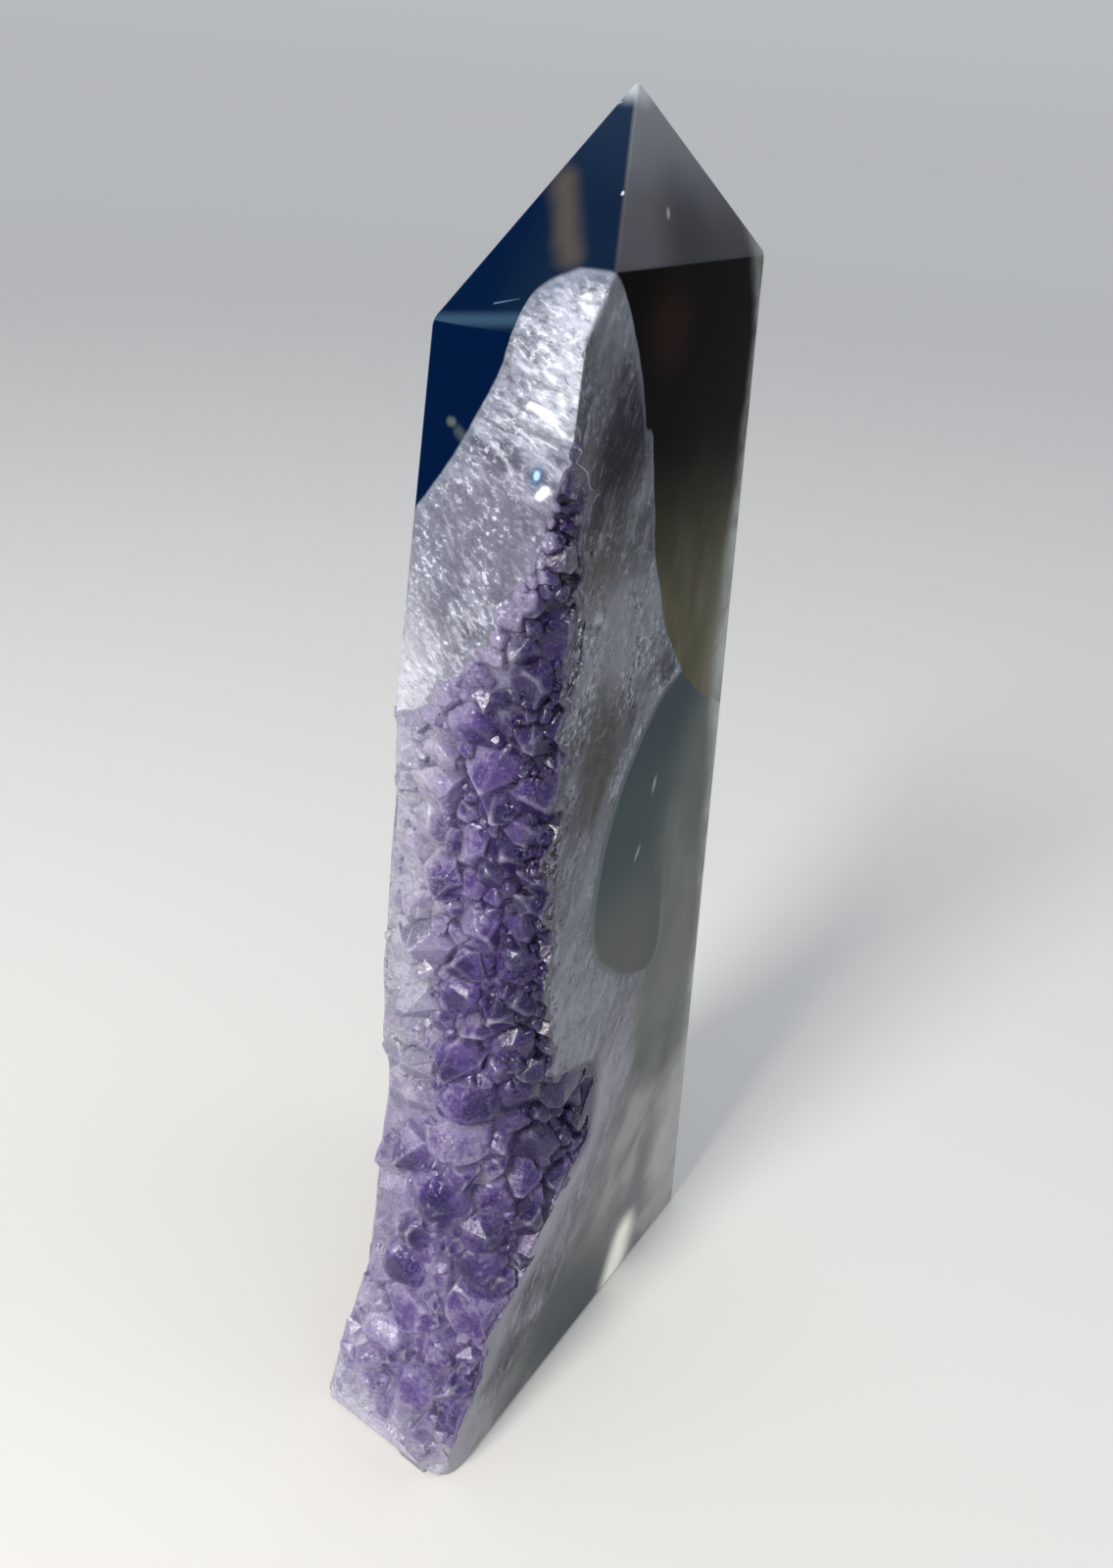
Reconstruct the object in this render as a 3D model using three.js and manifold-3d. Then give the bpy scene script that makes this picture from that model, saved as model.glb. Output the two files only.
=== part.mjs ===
// A polished agate tower: a tapering four-sided stone with a four-sided point, cut from the wall of a geode.
// Along its front left corner the cut opened the geode's hollow, which is lined with a crust of amethyst crystals.
// Millimetres, +Z up. The wide front face looks along -Y, the narrow left face, with the amethyst, along -X.

import * as THREE from "three";
import { ConvexGeometry } from "three/addons/geometries/ConvexGeometry.js";
import { mergeVertices } from "three/addons/utils/BufferGeometryUtils.js";
import Module from "manifold-3d";

const wasm = await Module();
wasm.setup();

// Driving dimensions of the stone

const HEIGHT = 180;
const FOOT_WIDTH = 69.1; // along X, at the front
const FOOT_DEPTH_LEFT = 23.4; // along Y, at the narrow left face
const FOOT_DEPTH_RIGHT = 30;
const FOOT_SKEW_LEFT = 0.7; // how far the back left corner of the foot stands in from the front left one
const FOOT_SKEW_RIGHT = 3.1;
const LEAN_DEG = { front: 0.81, right: 4.84, back: 1.29, left: 5.97 }; // inward, from upright
const TIP = { x: 33.3, y: 9.1 }; // the point's place over the foot, from the front left corner
// Heights where the point's facets meet the upright edges. The left facet is cut lower than the front one.
const SHOULDER = { frontLeft: 157.2, frontRise: 163.4, frontRight: 164, backRight: 160, backLeft: 156.8 };

// Driving dimensions of the hollow

// The bed that the crystals grow on. Each row is a height, how far the bed lies behind the left face at the
// back edge and at mid-face, and how far it reaches along the front face. Below zero it is outside the stone.
const BED_ROWS = [
  [-6, -5, -5, -5],
  [1.5, -1.5, -1.5, -1.5],
  [5, 2.5, 3.5, 1],
  [10, 5, 6.5, 3.5],
  [15, 8, 8, 7.5],
  [22, 11, 8.5, 8.5],
  [30, 11, 9, 13],
  [36, 11, 9.5, 21],
  [46, 11, 10, 27],
  [56, 11, 10, 25],
  [66, 8, 9, 13],
  [80, 6.5, 8.5, 9],
  [100, 5.5, 8, 6],
  [111, 3, 7, 6],
  [121, -2, 6, 5.5],
  [131, -5, 4, 4],
  [140, -7, 1.5, 4],
  [147, -8, -2, 1],
  [154, -9, -4, -3],
];
const BED_UNDERCUT = 2; // how far the bed runs in behind the front face's edge
const BED_STEP = 4; // between the levels of the bed's mesh
const BED_SAMPLES = 12; // points across the bed at each level
const CRUST_GAP = 0.5; // between the crust and the stone, along X
const CRUST_THICKNESS = 2.6; // of the solid quartz under the crystals

// Driving dimensions of the crystals

const CRYSTAL_PITCH = 6.2; // between neighbours up the bed
const CRYSTAL_RADIUS = { least: 2.7, most: 4.7 }; // over the corners
const CRYSTAL_RISE = { least: 1.4, most: 3.6 }; // of the prism's shoulder above the quartz
const CRYSTAL_ROOT = 3.2; // of the prism below the quartz
const TERMINATION_SLOPE = 1.05; // height of the six-sided tip over its radius
const CRYSTAL_TILT_DEG = 24; // most that a crystal leans from square to the bed
const PROUD = 0.9; // how far crystals may stand beyond the stone's flat faces
const SEED = 41;

const AGATE = { color: 0x3a4048, roughness: 0.12, metalness: 0 };
const AMETHYST = { color: 0x7f62a8, roughness: 0.25, metalness: 0 };

// A repeatable random number from 0 to 1.
function randomSource(seed) {
  let state = seed >>> 0;
  return () => {
    state = (state + 0x6d2b79f5) >>> 0;
    let mixed = Math.imul(state ^ (state >>> 15), 1 | state);
    mixed = (mixed + Math.imul(mixed ^ (mixed >>> 7), 61 | mixed)) ^ mixed;
    return ((mixed ^ (mixed >>> 14)) >>> 0) / 4294967296;
  };
}

function solidOf(geometry) {
  const bare = geometry.clone();
  bare.deleteAttribute("normal");
  bare.deleteAttribute("uv");
  const merged = mergeVertices(bare, 1e-4);
  return new wasm.Manifold(
    new wasm.Mesh({
      numProp: 3,
      vertProperties: new Float32Array(merged.attributes.position.array),
      triVerts: new Uint32Array(merged.index.array),
    }),
  );
}

function geometryOf(solid) {
  const mesh = solid.getMesh();
  const geometry = new THREE.BufferGeometry();
  geometry.setAttribute("position", new THREE.BufferAttribute(new Float32Array(mesh.vertProperties), 3));
  geometry.setIndex(new THREE.BufferAttribute(new Uint32Array(mesh.triVerts), 1));
  return geometry;
}

// The stone's flat faces

const footFrontLeft = new THREE.Vector3(0, 0, 0);
const footFrontRight = new THREE.Vector3(FOOT_WIDTH, 0, 0);
const footBackRight = new THREE.Vector3(FOOT_WIDTH - FOOT_SKEW_RIGHT, FOOT_DEPTH_RIGHT, 0);
const footBackLeft = new THREE.Vector3(FOOT_SKEW_LEFT, FOOT_DEPTH_LEFT, 0);

// The polished face over one side of the foot, leaning in with height.
function sideFace(start, end, leanDeg) {
  const along = end.clone().sub(start).normalize();
  const lean = THREE.MathUtils.degToRad(leanDeg);
  const outward = new THREE.Vector3(along.y, -along.x, 0).multiplyScalar(Math.cos(lean));
  outward.z = Math.sin(lean);
  return new THREE.Plane().setFromNormalAndCoplanarPoint(outward, start);
}

const front = sideFace(footFrontLeft, footFrontRight, LEAN_DEG.front);
const right = sideFace(footFrontRight, footBackRight, LEAN_DEG.right);
const back = sideFace(footBackRight, footBackLeft, LEAN_DEG.back);
const left = sideFace(footBackLeft, footFrontLeft, LEAN_DEG.left);

const levelAt = (height) => new THREE.Plane(new THREE.Vector3(0, 0, 1), -height);

// The point where three planes meet.
function meet(a, b, c) {
  const bc = b.normal.clone().cross(c.normal);
  const ca = c.normal.clone().cross(a.normal);
  const ab = a.normal.clone().cross(b.normal);
  const sum = bc
    .multiplyScalar(-a.constant)
    .add(ca.multiplyScalar(-b.constant))
    .add(ab.multiplyScalar(-c.constant));
  return sum.divideScalar(a.normal.dot(b.normal.clone().cross(c.normal)));
}

function makeStone() {
  const tip = new THREE.Vector3(TIP.x, TIP.y, HEIGHT);
  const shoulderFrontLeft = meet(front, left, levelAt(SHOULDER.frontLeft));
  const shoulderBackLeft = meet(back, left, levelAt(SHOULDER.backLeft));
  const shoulderFrontRight = meet(front, right, levelAt(SHOULDER.frontRight));
  const shoulderBackRight = meet(back, right, levelAt(SHOULDER.backRight));
  const leftFacet = new THREE.Plane().setFromCoplanarPoints(tip, shoulderBackLeft, shoulderFrontLeft);
  const shoulderFrontRise = meet(front, leftFacet, levelAt(SHOULDER.frontRise));
  const corners = [
    footFrontLeft,
    footFrontRight,
    footBackRight,
    footBackLeft,
    shoulderFrontLeft,
    shoulderFrontRise,
    shoulderFrontRight,
    shoulderBackRight,
    shoulderBackLeft,
    tip,
  ];
  return solidOf(new ConvexGeometry(corners));
}

// The hollow's bed

// The bed's three distances at a height, eased between the rows.
function bedAt(height) {
  const last = BED_ROWS.length - 2;
  const found = BED_ROWS.findIndex((row, i) => i < BED_ROWS.length - 1 && height < BED_ROWS[i + 1][0]);
  const i = found < 0 ? last : found;
  const [low, high] = [BED_ROWS[i], BED_ROWS[i + 1]];
  const share = THREE.MathUtils.smoothstep(height, low[0], high[0]);
  const blended = low.map((value, k) => value + (high[k] - value) * share);
  return { back: blended[1], middle: blended[2], reach: blended[3] };
}

// X of the left face's plane at a height, at the front of the stone.
const leftEdgeX = (height) => height * Math.tan(THREE.MathUtils.degToRad(LEAN_DEG.left));

// The line of the bed across the stone at one height, from behind the back face to before the front face.
// Inset moves it out of the stone.
function bedLine(height, inset) {
  const bed = bedAt(height);
  const edge = leftEdgeX(height) - inset;
  const beyond = 10;
  const curve = new THREE.CatmullRomCurve3(
    [
      new THREE.Vector3(edge + bed.back + 1, FOOT_DEPTH_LEFT + beyond, height),
      new THREE.Vector3(edge + bed.back, FOOT_DEPTH_LEFT - 1, height),
      new THREE.Vector3(edge + bed.middle, FOOT_DEPTH_LEFT / 2, height),
      new THREE.Vector3(edge + (bed.middle + bed.reach) / 2 + BED_UNDERCUT, 5, height),
      new THREE.Vector3(edge + bed.reach + BED_UNDERCUT / 2, 1.5, height),
      new THREE.Vector3(edge + bed.reach, 0, height),
      new THREE.Vector3(edge + bed.reach + 1, -beyond, height),
    ],
    false,
    "centripetal",
  );
  return curve.getPoints(BED_SAMPLES);
}

// Everything on the hollow's side of the bed.
function hollowSide(inset) {
  const lowest = BED_ROWS[0][0];
  const highest = BED_ROWS[BED_ROWS.length - 1][0];
  const levels = Math.round((highest - lowest) / BED_STEP);
  const rings = [];
  for (let i = 0; i <= levels; i++) {
    const height = lowest + ((highest - lowest) * i) / levels;
    const line = bedLine(height, inset);
    const outside = [line[0], line[line.length - 1]].map((end) => new THREE.Vector3(-30, end.y, height));
    rings.push([...outside, ...line.reverse()]);
  }
  return solidOf(loft(rings));
}

// A closed solid through rings that all have the same number of points, counter-clockwise seen from above.
function loft(rings) {
  const count = rings[0].length;
  const top = rings.length - 1;
  const positions = rings.flat().flatMap((p) => [p.x, p.y, p.z]);
  const indices = [];
  for (let i = 0; i < top; i++) {
    for (let j = 0; j < count; j++) {
      const here = i * count + j;
      const next = i * count + ((j + 1) % count);
      indices.push(here, next, here + count, next, next + count, here + count);
    }
  }
  for (const [level, facesUp] of [[0, false], [top, true]]) {
    const flat = rings[level].map((p) => new THREE.Vector2(p.x, p.y));
    for (const [a, b, c] of THREE.ShapeUtils.triangulateShape(flat, [])) {
      const turnsLeft = THREE.ShapeUtils.area([flat[a], flat[b], flat[c]]) > 0;
      const corners = turnsLeft === facesUp ? [a, b, c] : [a, c, b];
      indices.push(...corners.map((corner) => level * count + corner));
    }
  }
  const geometry = new THREE.BufferGeometry();
  geometry.setAttribute("position", new THREE.Float32BufferAttribute(positions, 3));
  geometry.setIndex(indices);
  return geometry;
}

// The crystals

// One quartz crystal along +Z: a six-sided prism that ends in a six-sided point, with the quartz at Z = 0.
function crystalGeometry(radius, rise, tipHeight) {
  const profile = [
    new THREE.Vector2(0, -CRYSTAL_ROOT),
    new THREE.Vector2(radius, -CRYSTAL_ROOT),
    new THREE.Vector2(radius, rise),
    new THREE.Vector2(0, rise + tipHeight),
  ];
  const geometry = new THREE.LatheGeometry(profile, 6);
  geometry.rotateX(Math.PI / 2);
  return geometry;
}

// Where crystals root: a loose brick pattern over the bed, each with the direction square to the bed.
function crystalSeats(random) {
  const seats = [];
  const lowest = 2;
  const highest = 146;
  let odd = false;
  for (let height = lowest; height < highest; height += CRYSTAL_PITCH * 0.86) {
    const line = bedLine(height, CRUST_THICKNESS);
    const above = bedLine(height + 1, CRUST_THICKNESS);
    const curve = new THREE.CatmullRomCurve3(line);
    const curveAbove = new THREE.CatmullRomCurve3(above);
    const length = curve.getLength();
    for (let s = odd ? CRYSTAL_PITCH / 2 : 0; s < length; s += CRYSTAL_PITCH) {
      const t = THREE.MathUtils.clamp((s + (random() - 0.5) * CRYSTAL_PITCH * 0.5) / length, 0, 1);
      const place = curve.getPointAt(t);
      const along = curve.getTangentAt(t);
      const up = curveAbove.getPointAt(t).sub(place);
      const out = along.clone().cross(up).normalize();
      if (out.x > 0) out.negate();
      place.addScaledVector(up, (random() - 0.5) * CRYSTAL_PITCH * 0.5);
      if ([front, back, left].every((face) => face.distanceToPoint(place) < 0)) seats.push({ place, out });
    }
    odd = !odd;
  }
  return seats;
}

// How far a crystal can grow before it meets one of the stone's faces.
function roomAhead(place, direction) {
  const ahead = [front, back, left].filter((face) => face.normal.dot(direction) > 0.2);
  return Math.min(...ahead.map((face) => -face.distanceToPoint(place) / face.normal.dot(direction)));
}

function makeCrystals() {
  const random = randomSource(SEED);
  const between = ({ least, most }) => least + (most - least) * random();
  const axis = new THREE.Vector3(0, 0, 1);
  const lean = Math.tan(THREE.MathUtils.degToRad(CRYSTAL_TILT_DEG));
  return crystalSeats(random).map(({ place, out }) => {
    const tilt = new THREE.Vector3(random() - 0.5, random() - 0.5, random() - 0.5).multiplyScalar(2 * lean);
    const direction = out.clone().add(tilt).normalize();
    const radius = between(CRYSTAL_RADIUS);
    const tipHeight = radius * TERMINATION_SLOPE;
    const rise = Math.min(between(CRYSTAL_RISE), roomAhead(place, direction) + PROUD - tipHeight);
    const geometry = crystalGeometry(radius, Math.max(rise, 1 - CRYSTAL_ROOT), tipHeight);
    geometry.rotateZ(random() * Math.PI);
    geometry.applyQuaternion(new THREE.Quaternion().setFromUnitVectors(axis, direction));
    geometry.translate(place.x, place.y, place.z);
    return solidOf(geometry);
  });
}

// The stone a little larger all round its axis, which trims what stands too proud of the polished faces.
function trimmingStone(stone) {
  const middle = new THREE.Vector3(FOOT_WIDTH / 2, FOOT_DEPTH_LEFT / 2, 0);
  const grow = [1 + (2 * PROUD) / FOOT_WIDTH, 1 + (2 * PROUD) / FOOT_DEPTH_LEFT, 1];
  return stone
    .translate([-middle.x, -middle.y, 0])
    .scale(grow)
    .translate([middle.x, middle.y, 0]);
}

// The upright block round the foot. Nothing of the crust stands out past it.
function footBlock() {
  const block = new THREE.BoxGeometry(FOOT_WIDTH, FOOT_DEPTH_RIGHT, HEIGHT);
  return solidOf(block.translate(FOOT_WIDTH / 2, FOOT_DEPTH_RIGHT / 2, HEIGHT / 2));
}

function makeCrust(stone) {
  let crust = hollowSide(CRUST_GAP).subtract(hollowSide(CRUST_THICKNESS)).intersect(stone);
  for (const crystal of makeCrystals()) crust = crust.add(crystal);
  for (const limit of [hollowSide(CRUST_GAP), trimmingStone(stone), footBlock()]) crust = crust.intersect(limit);
  return largestPiece(crust);
}

// Trimming can leave a sliver beside the main solid.
function largestPiece(solid) {
  return solid.decompose().reduce((best, piece) => (piece.volume() > best.volume() ? piece : best));
}

function nodeMesh(name, solid, finish) {
  const mesh = new THREE.Mesh(geometryOf(solid), new THREE.MeshStandardMaterial(finish));
  mesh.name = name;
  // The origin is the middle of the foot's bounding box, on the floor.
  mesh.position.set(-FOOT_WIDTH / 2, -FOOT_DEPTH_RIGHT / 2, 0);
  return mesh;
}

const stone = makeStone();
const tower = new THREE.Group();
tower.add(nodeMesh("agate_body", largestPiece(stone.subtract(hollowSide(0))), AGATE));
tower.add(nodeMesh("amethyst_crust", makeCrust(stone), AMETHYST));

export default tower;
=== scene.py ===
import math
import random

import bmesh
import bpy
import numpy as np
from mathutils import Matrix, Vector, noise


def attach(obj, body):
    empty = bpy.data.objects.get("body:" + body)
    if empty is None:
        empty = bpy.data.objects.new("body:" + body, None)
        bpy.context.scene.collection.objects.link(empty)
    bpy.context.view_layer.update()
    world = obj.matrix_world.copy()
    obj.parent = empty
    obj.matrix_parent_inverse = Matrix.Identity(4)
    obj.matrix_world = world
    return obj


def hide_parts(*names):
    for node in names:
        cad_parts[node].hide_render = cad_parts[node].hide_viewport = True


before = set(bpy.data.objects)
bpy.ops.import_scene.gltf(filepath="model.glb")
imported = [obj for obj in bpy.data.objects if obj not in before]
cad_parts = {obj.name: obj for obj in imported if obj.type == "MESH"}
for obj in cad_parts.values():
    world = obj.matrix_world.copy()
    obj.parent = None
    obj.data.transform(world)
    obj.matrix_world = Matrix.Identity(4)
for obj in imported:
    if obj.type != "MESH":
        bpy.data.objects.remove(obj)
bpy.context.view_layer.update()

# ---- Camera ----
# A phone held close above the front left corner, looking down on the tower. Its place and its 28 mm lens come
# from fitting the tower's corners to the picture, which also gives the small roll.

camera = bpy.data.objects.new("camera", bpy.data.cameras.new("camera"))
bpy.context.scene.collection.objects.link(camera)
camera.data.lens = 27.82
camera.data.sensor_width = 36
camera.data.clip_start = 0.01
camera_right = Vector((0.55558894, -0.82806982, 0.07497529))
camera_up = Vector((0.3592358, 0.32039003, 0.87652716))
camera_back = Vector((-0.74984703, -0.46005499, 0.47547749))
camera_place = Matrix.Translation((-0.120854, -0.076783, 0.175177))
camera_turn = Matrix((camera_right, camera_up, camera_back)).transposed().to_4x4()
camera.matrix_world = camera_place @ camera_turn
bpy.context.scene.camera = camera

# ---- Studio ----
# The stone stands on a pale matt paper floor in a pale room. One large soft light is high on the left and a
# weak one is on the right.

scene = bpy.context.scene
scene.view_settings.view_transform = "Standard"


def linear(hex_colour):
    """An sRGB hex colour as linear RGBA."""
    parts = [int(hex_colour[i : i + 2], 16) / 255 for i in (1, 3, 5)]
    return tuple(p / 12.92 if p <= 0.04045 else ((p + 0.055) / 1.055) ** 2.4 for p in parts) + (1.0,)


def add_node(tree, kind, inputs=None, **settings):
    """Adds a node, sets its settings, then each input from a value or another node's output socket."""
    made = tree.nodes.new(kind)
    for name, value in settings.items():
        setattr(made, name, value)
    for name, value in (inputs or {}).items():
        value = getattr(value, "socket", value)
        if isinstance(value, bpy.types.NodeSocket):
            tree.links.new(value, made.inputs[name])
        else:
            made.inputs[name].default_value = value
    return made


def new_material(name):
    material = bpy.data.materials.new(name)
    material.use_nodes = True
    material.node_tree.nodes.clear()
    return material, material.node_tree


def link_object(name, mesh):
    piece = bpy.data.objects.new(name, mesh)
    scene.collection.objects.link(piece)
    return piece


# The room is grey at the horizon and lighter overhead.
world = bpy.data.worlds.new("room")
scene.world = world
world.use_nodes = True
room = world.node_tree
sky_height = add_node(
    room,
    "ShaderNodeSeparateXYZ",
    {0: add_node(room, "ShaderNodeTexCoord").outputs["Generated"]},
)
sky = add_node(
    room,
    "ShaderNodeMapRange",
    {"Value": sky_height.outputs["Z"], "From Min": 0.03, "From Max": 0.6},
)
sky_colour = add_node(
    room,
    "ShaderNodeMix",
    {0: sky.outputs[0], 6: linear("#c9ccd0"), 7: linear("#e3e9f2")},
    data_type="RGBA",
)
room.links.new(sky_colour.outputs[2], room.nodes["Background"].inputs["Color"])
room.nodes["Background"].inputs["Strength"].default_value = 0.8


def soft_light(name, place, aim, size, power, colour):
    light = bpy.data.lights.new(name, "AREA")
    light.shape = "DISK"
    light.size = size
    light.energy = power
    light.color = linear(colour)[:3]
    lamp = bpy.data.objects.new(name, light)
    scene.collection.objects.link(lamp)
    lamp.location = place
    lamp.rotation_euler = (Vector(aim) - Vector(place)).to_track_quat("-Z", "Y").to_euler()
    return lamp


soft_light("key_light", (-0.60, 0.04, 0.52), (0, 0, 0.10), 0.22, 6.0, "#fffaf2")
soft_light("fill_light", (0.55, -0.9, 0.9), (0, 0, 0.08), 0.6, 2.0, "#eef3ff")

floor_mesh = bpy.data.meshes.new("floor")
floor_mesh.from_pydata([(-30, -30, 0), (30, -30, 0), (30, 30, 0), (-30, 30, 0)], [], [(0, 1, 2, 3)])
floor = link_object("floor", floor_mesh)
paper, tree = new_material("matt_paper")
# Painted light: far from the stone, where less light reaches it, the paper is painted lighter, so that it
# meets the grey of the room without a line.
from_stone = add_node(
    tree,
    "ShaderNodeVectorMath",
    {0: add_node(tree, "ShaderNodeTexCoord").outputs["Object"]},
    operation="LENGTH",
)
far = add_node(
    tree,
    "ShaderNodeMapRange",
    {"Value": from_stone.outputs["Value"], "From Min": 0.6, "From Max": 3.0},
)
far.interpolation_type = "SMOOTHSTEP"
paper_colour = add_node(
    tree,
    "ShaderNodeMix",
    {0: far.outputs[0], 6: linear("#d6d4d0"), 7: linear("#e2e0dc")},
    data_type="RGBA",
)
shader = add_node(
    tree,
    "ShaderNodeBsdfPrincipled",
    {"Base Color": paper_colour.outputs[2], "Roughness": 0.9, "Specular IOR Level": 0.2},
)
add_node(tree, "ShaderNodeOutputMaterial", {"Surface": shader.outputs[0]})
floor_mesh.materials.append(paper)

# ---- Polished agate body ----
# The stone is agate and coarse quartz, grown as one piece in a geode, then sawn and polished as a tower with
# four sides. Its edges are slightly rounded by the polishing, and the hollow's bed cuts away the front left
# corner.

HEIGHT = 180.0
FOOT_WIDTH = 69.1
FOOT_DEPTH_LEFT = 23.4
FOOT_DEPTH_RIGHT = 30.0
FOOT_SKEW_LEFT = 0.7
FOOT_SKEW_RIGHT = 3.1
LEAN = {"front": 0.81, "right": 4.84, "back": 1.29, "left": 5.97}  # degrees inward
TIP = Vector((33.3, 9.1, HEIGHT))
SHOULDER = {
    "front_left": 157.2,
    "front_rise": 163.4,
    "front_right": 164.0,
    "back_right": 160.0,
    "back_left": 156.8,
}
# Millimetres from the foot's front left corner become metres round the middle of the foot.
TO_FRAME = Matrix.Diagonal((0.001, 0.001, 0.001, 1))
TO_FRAME @= Matrix.Translation((-FOOT_WIDTH / 2, -FOOT_DEPTH_RIGHT / 2, 0))

foot_corners = [
    Vector((0, 0, 0)),
    Vector((FOOT_WIDTH, 0, 0)),
    Vector((FOOT_WIDTH - FOOT_SKEW_RIGHT, FOOT_DEPTH_RIGHT, 0)),
    Vector((FOOT_SKEW_LEFT, FOOT_DEPTH_LEFT, 0)),
]


def side_face(start, end, lean):
    """(outward normal, distance from the origin) of the polished face over one side of the foot."""
    along = (end - start).normalized()
    lean = math.radians(lean)
    normal = Vector((along.y * math.cos(lean), -along.x * math.cos(lean), math.sin(lean)))
    return normal, normal.dot(start)


front = side_face(foot_corners[0], foot_corners[1], LEAN["front"])
right = side_face(foot_corners[1], foot_corners[2], LEAN["right"])
back = side_face(foot_corners[2], foot_corners[3], LEAN["back"])
left = side_face(foot_corners[3], foot_corners[0], LEAN["left"])

FACES = {"front": front, "right": right, "back": back, "left": left}


def meet(*faces):
    """The point where three planes meet."""
    return Vector(np.linalg.solve([tuple(n) for n, d in faces], [d for n, d in faces]))


def level(height):
    return Vector((0, 0, 1)), height


front_left, back_left = (meet(FACES[a], left, level(SHOULDER[a + "_left"])) for a in ("front", "back"))
left_crown = (front_left - TIP).cross(back_left - TIP).normalized()
FRONT_RISE = meet(front, (left_crown, left_crown.dot(TIP)), level(SHOULDER["front_rise"]))


# The foot's front left corner is worn blunt.
WORN_CORNER = [(5, 0, 0), (2.2, 0.6, 0), (0.7, 2.0, 0), (0.15, 5, 0), (0.9, 0.55, 4), (1.45, 0.17, 13)]


def edge_wear(edge):
    """How far the polishing has rounded an edge, as a share of the most."""
    if max(v.co.z for v in edge.verts) > 170:
        return 0.35
    if max(v.co.z for v in edge.verts) < 1:
        return 0.8
    right_side = min(v.co.x for v in edge.verts) > FOOT_WIDTH * 0.6
    return 1.0 if right_side and min(v.co.z for v in edge.verts) < 1 else 0.5


def stone_mesh(grow=(0, 0, 0, 0), round_edges=0.0):
    """The whole stone before the hollow is cut, its front, right, back and left faces moved out by grow."""
    sides = {name: (FACES[name][0], FACES[name][1] + by) for name, by in zip(FACES, grow)}
    ring = [("front", "left"), ("front", "right"), ("back", "right"), ("back", "left")]
    low = [meet(sides[a], sides[b], level(0)) for a, b in ring]
    shoulders = [meet(sides[a], sides[b], level(SHOULDER[f"{a}_{b}"])) for a, b in ring]
    rise = meet(sides["front"], (left_crown, left_crown.dot(TIP)), level(SHOULDER["front_rise"]))
    bm = bmesh.new()
    worn = [Vector(place) for place in WORN_CORNER]
    for corner in (worn if round_edges else low[:1]) + low[1:] + shoulders + [rise, TIP]:
        bm.verts.new(corner)
    bmesh.ops.convex_hull(bm, input=bm.verts)
    bmesh.ops.dissolve_limit(bm, angle_limit=math.radians(0.3), verts=bm.verts, edges=bm.edges)
    if round_edges:
        weights = bm.edges.layers.float.new("bevel_weight_edge")
        for edge in bm.edges:
            edge[weights] = edge_wear(edge)
    mesh = bpy.data.meshes.new("stone")
    bm.to_mesh(mesh)
    bm.free()
    if round_edges:
        solid = link_object("stone_blank", mesh)
        bevel = solid.modifiers.new("rounding", "BEVEL")
        bevel.limit_method = "WEIGHT"
        bevel.width = round_edges
        bevel.segments = 3
        mesh = plain_mesh(solid)
    return mesh


def plain_mesh(piece):
    """What the piece's modifiers make, as a mesh of its own. The piece is removed."""
    depsgraph = bpy.context.evaluated_depsgraph_get()
    mesh = bpy.data.meshes.new_from_object(piece.evaluated_get(depsgraph), depsgraph=depsgraph)
    name = piece.name
    bpy.data.objects.remove(piece)
    mesh.name = name
    return mesh


def one_solid(mesh):
    """Keeps the largest closed part of a mesh, without the bubbles that buried chips leave inside."""
    bm = bmesh.new()
    bm.from_mesh(mesh)
    left_over = set(bm.faces)
    largest = []
    while left_over:
        island = [left_over.pop()]
        for face in island:
            for other in {f for e in face.edges for f in e.link_faces} & left_over:
                left_over.discard(other)
                island.append(other)
        if len(island) > len(largest):
            largest = island
    kept = {v for face in largest for v in face.verts}
    bmesh.ops.delete(bm, geom=[v for v in bm.verts if v not in kept], context="VERTS")
    bm.to_mesh(mesh)
    bm.free()


def finished(name, mesh):
    """The finished piece. Its large faces lead the shading, so that they look flat up to their edges."""
    piece = link_object(name, mesh)
    piece.modifiers.new("flat_faces_lead", "WEIGHTED_NORMAL").keep_sharp = True
    return link_object(name, plain_mesh(piece))


# The bed of the hollow. Each row is a height, how far the bed lies behind the left face at the back edge
# and at mid-face, and how far it reaches along the front face. Below zero it is outside the stone.
BED_ROWS = [
    (-6, -5, -5, -5),
    (1.0, -1.5, -1.5, -2.5),
    (4, 2.5, 3, -1.5),
    (10, 5, 6.5, 1),
    (15, 8, 8, 4.5),
    (22, 11, 8.5, 8),
    (30, 11, 9, 15),
    (36, 11, 9.5, 21),
    (46, 11, 10, 27.5),
    (56, 11, 10, 26),
    (66, 8, 9, 13),
    (80, 6.5, 8.5, 9),
    (100, 5.5, 8, 6),
    (111, 3, 6, 6),
    (119, -1.5, 3, 5.5),
    (128, -5, -0.4, 5),
    (136, -7, -5, 4.5),
    (142, -8, -9, 4),
    (147, -9, -12, 1.5),
    (154, -10, -14, -3),
]
BED_UNDERCUT = 2.0
SHALLOW = 3


def clamped(value):
    return min(max(value, 0), 1)


def bed_at(height):
    """The bed's three measures at a height, eased from row to row."""
    for low_row, high_row in zip(BED_ROWS, BED_ROWS[1:]):
        if height <= high_row[0] or high_row is BED_ROWS[-1]:
            t = clamped((height - low_row[0]) / (high_row[0] - low_row[0]))
            t = t * t * (3 - 2 * t)
            return [a + (b - a) * t for a, b in zip(low_row[1:], high_row[1:])]


def left_edge_x(height):
    return height * math.tan(math.radians(LEAN["left"]))


def lumps(point, size, seed=0.0):
    return noise.noise(Vector(point) / size + Vector((seed, seed * 1.7, -seed)))


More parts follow.
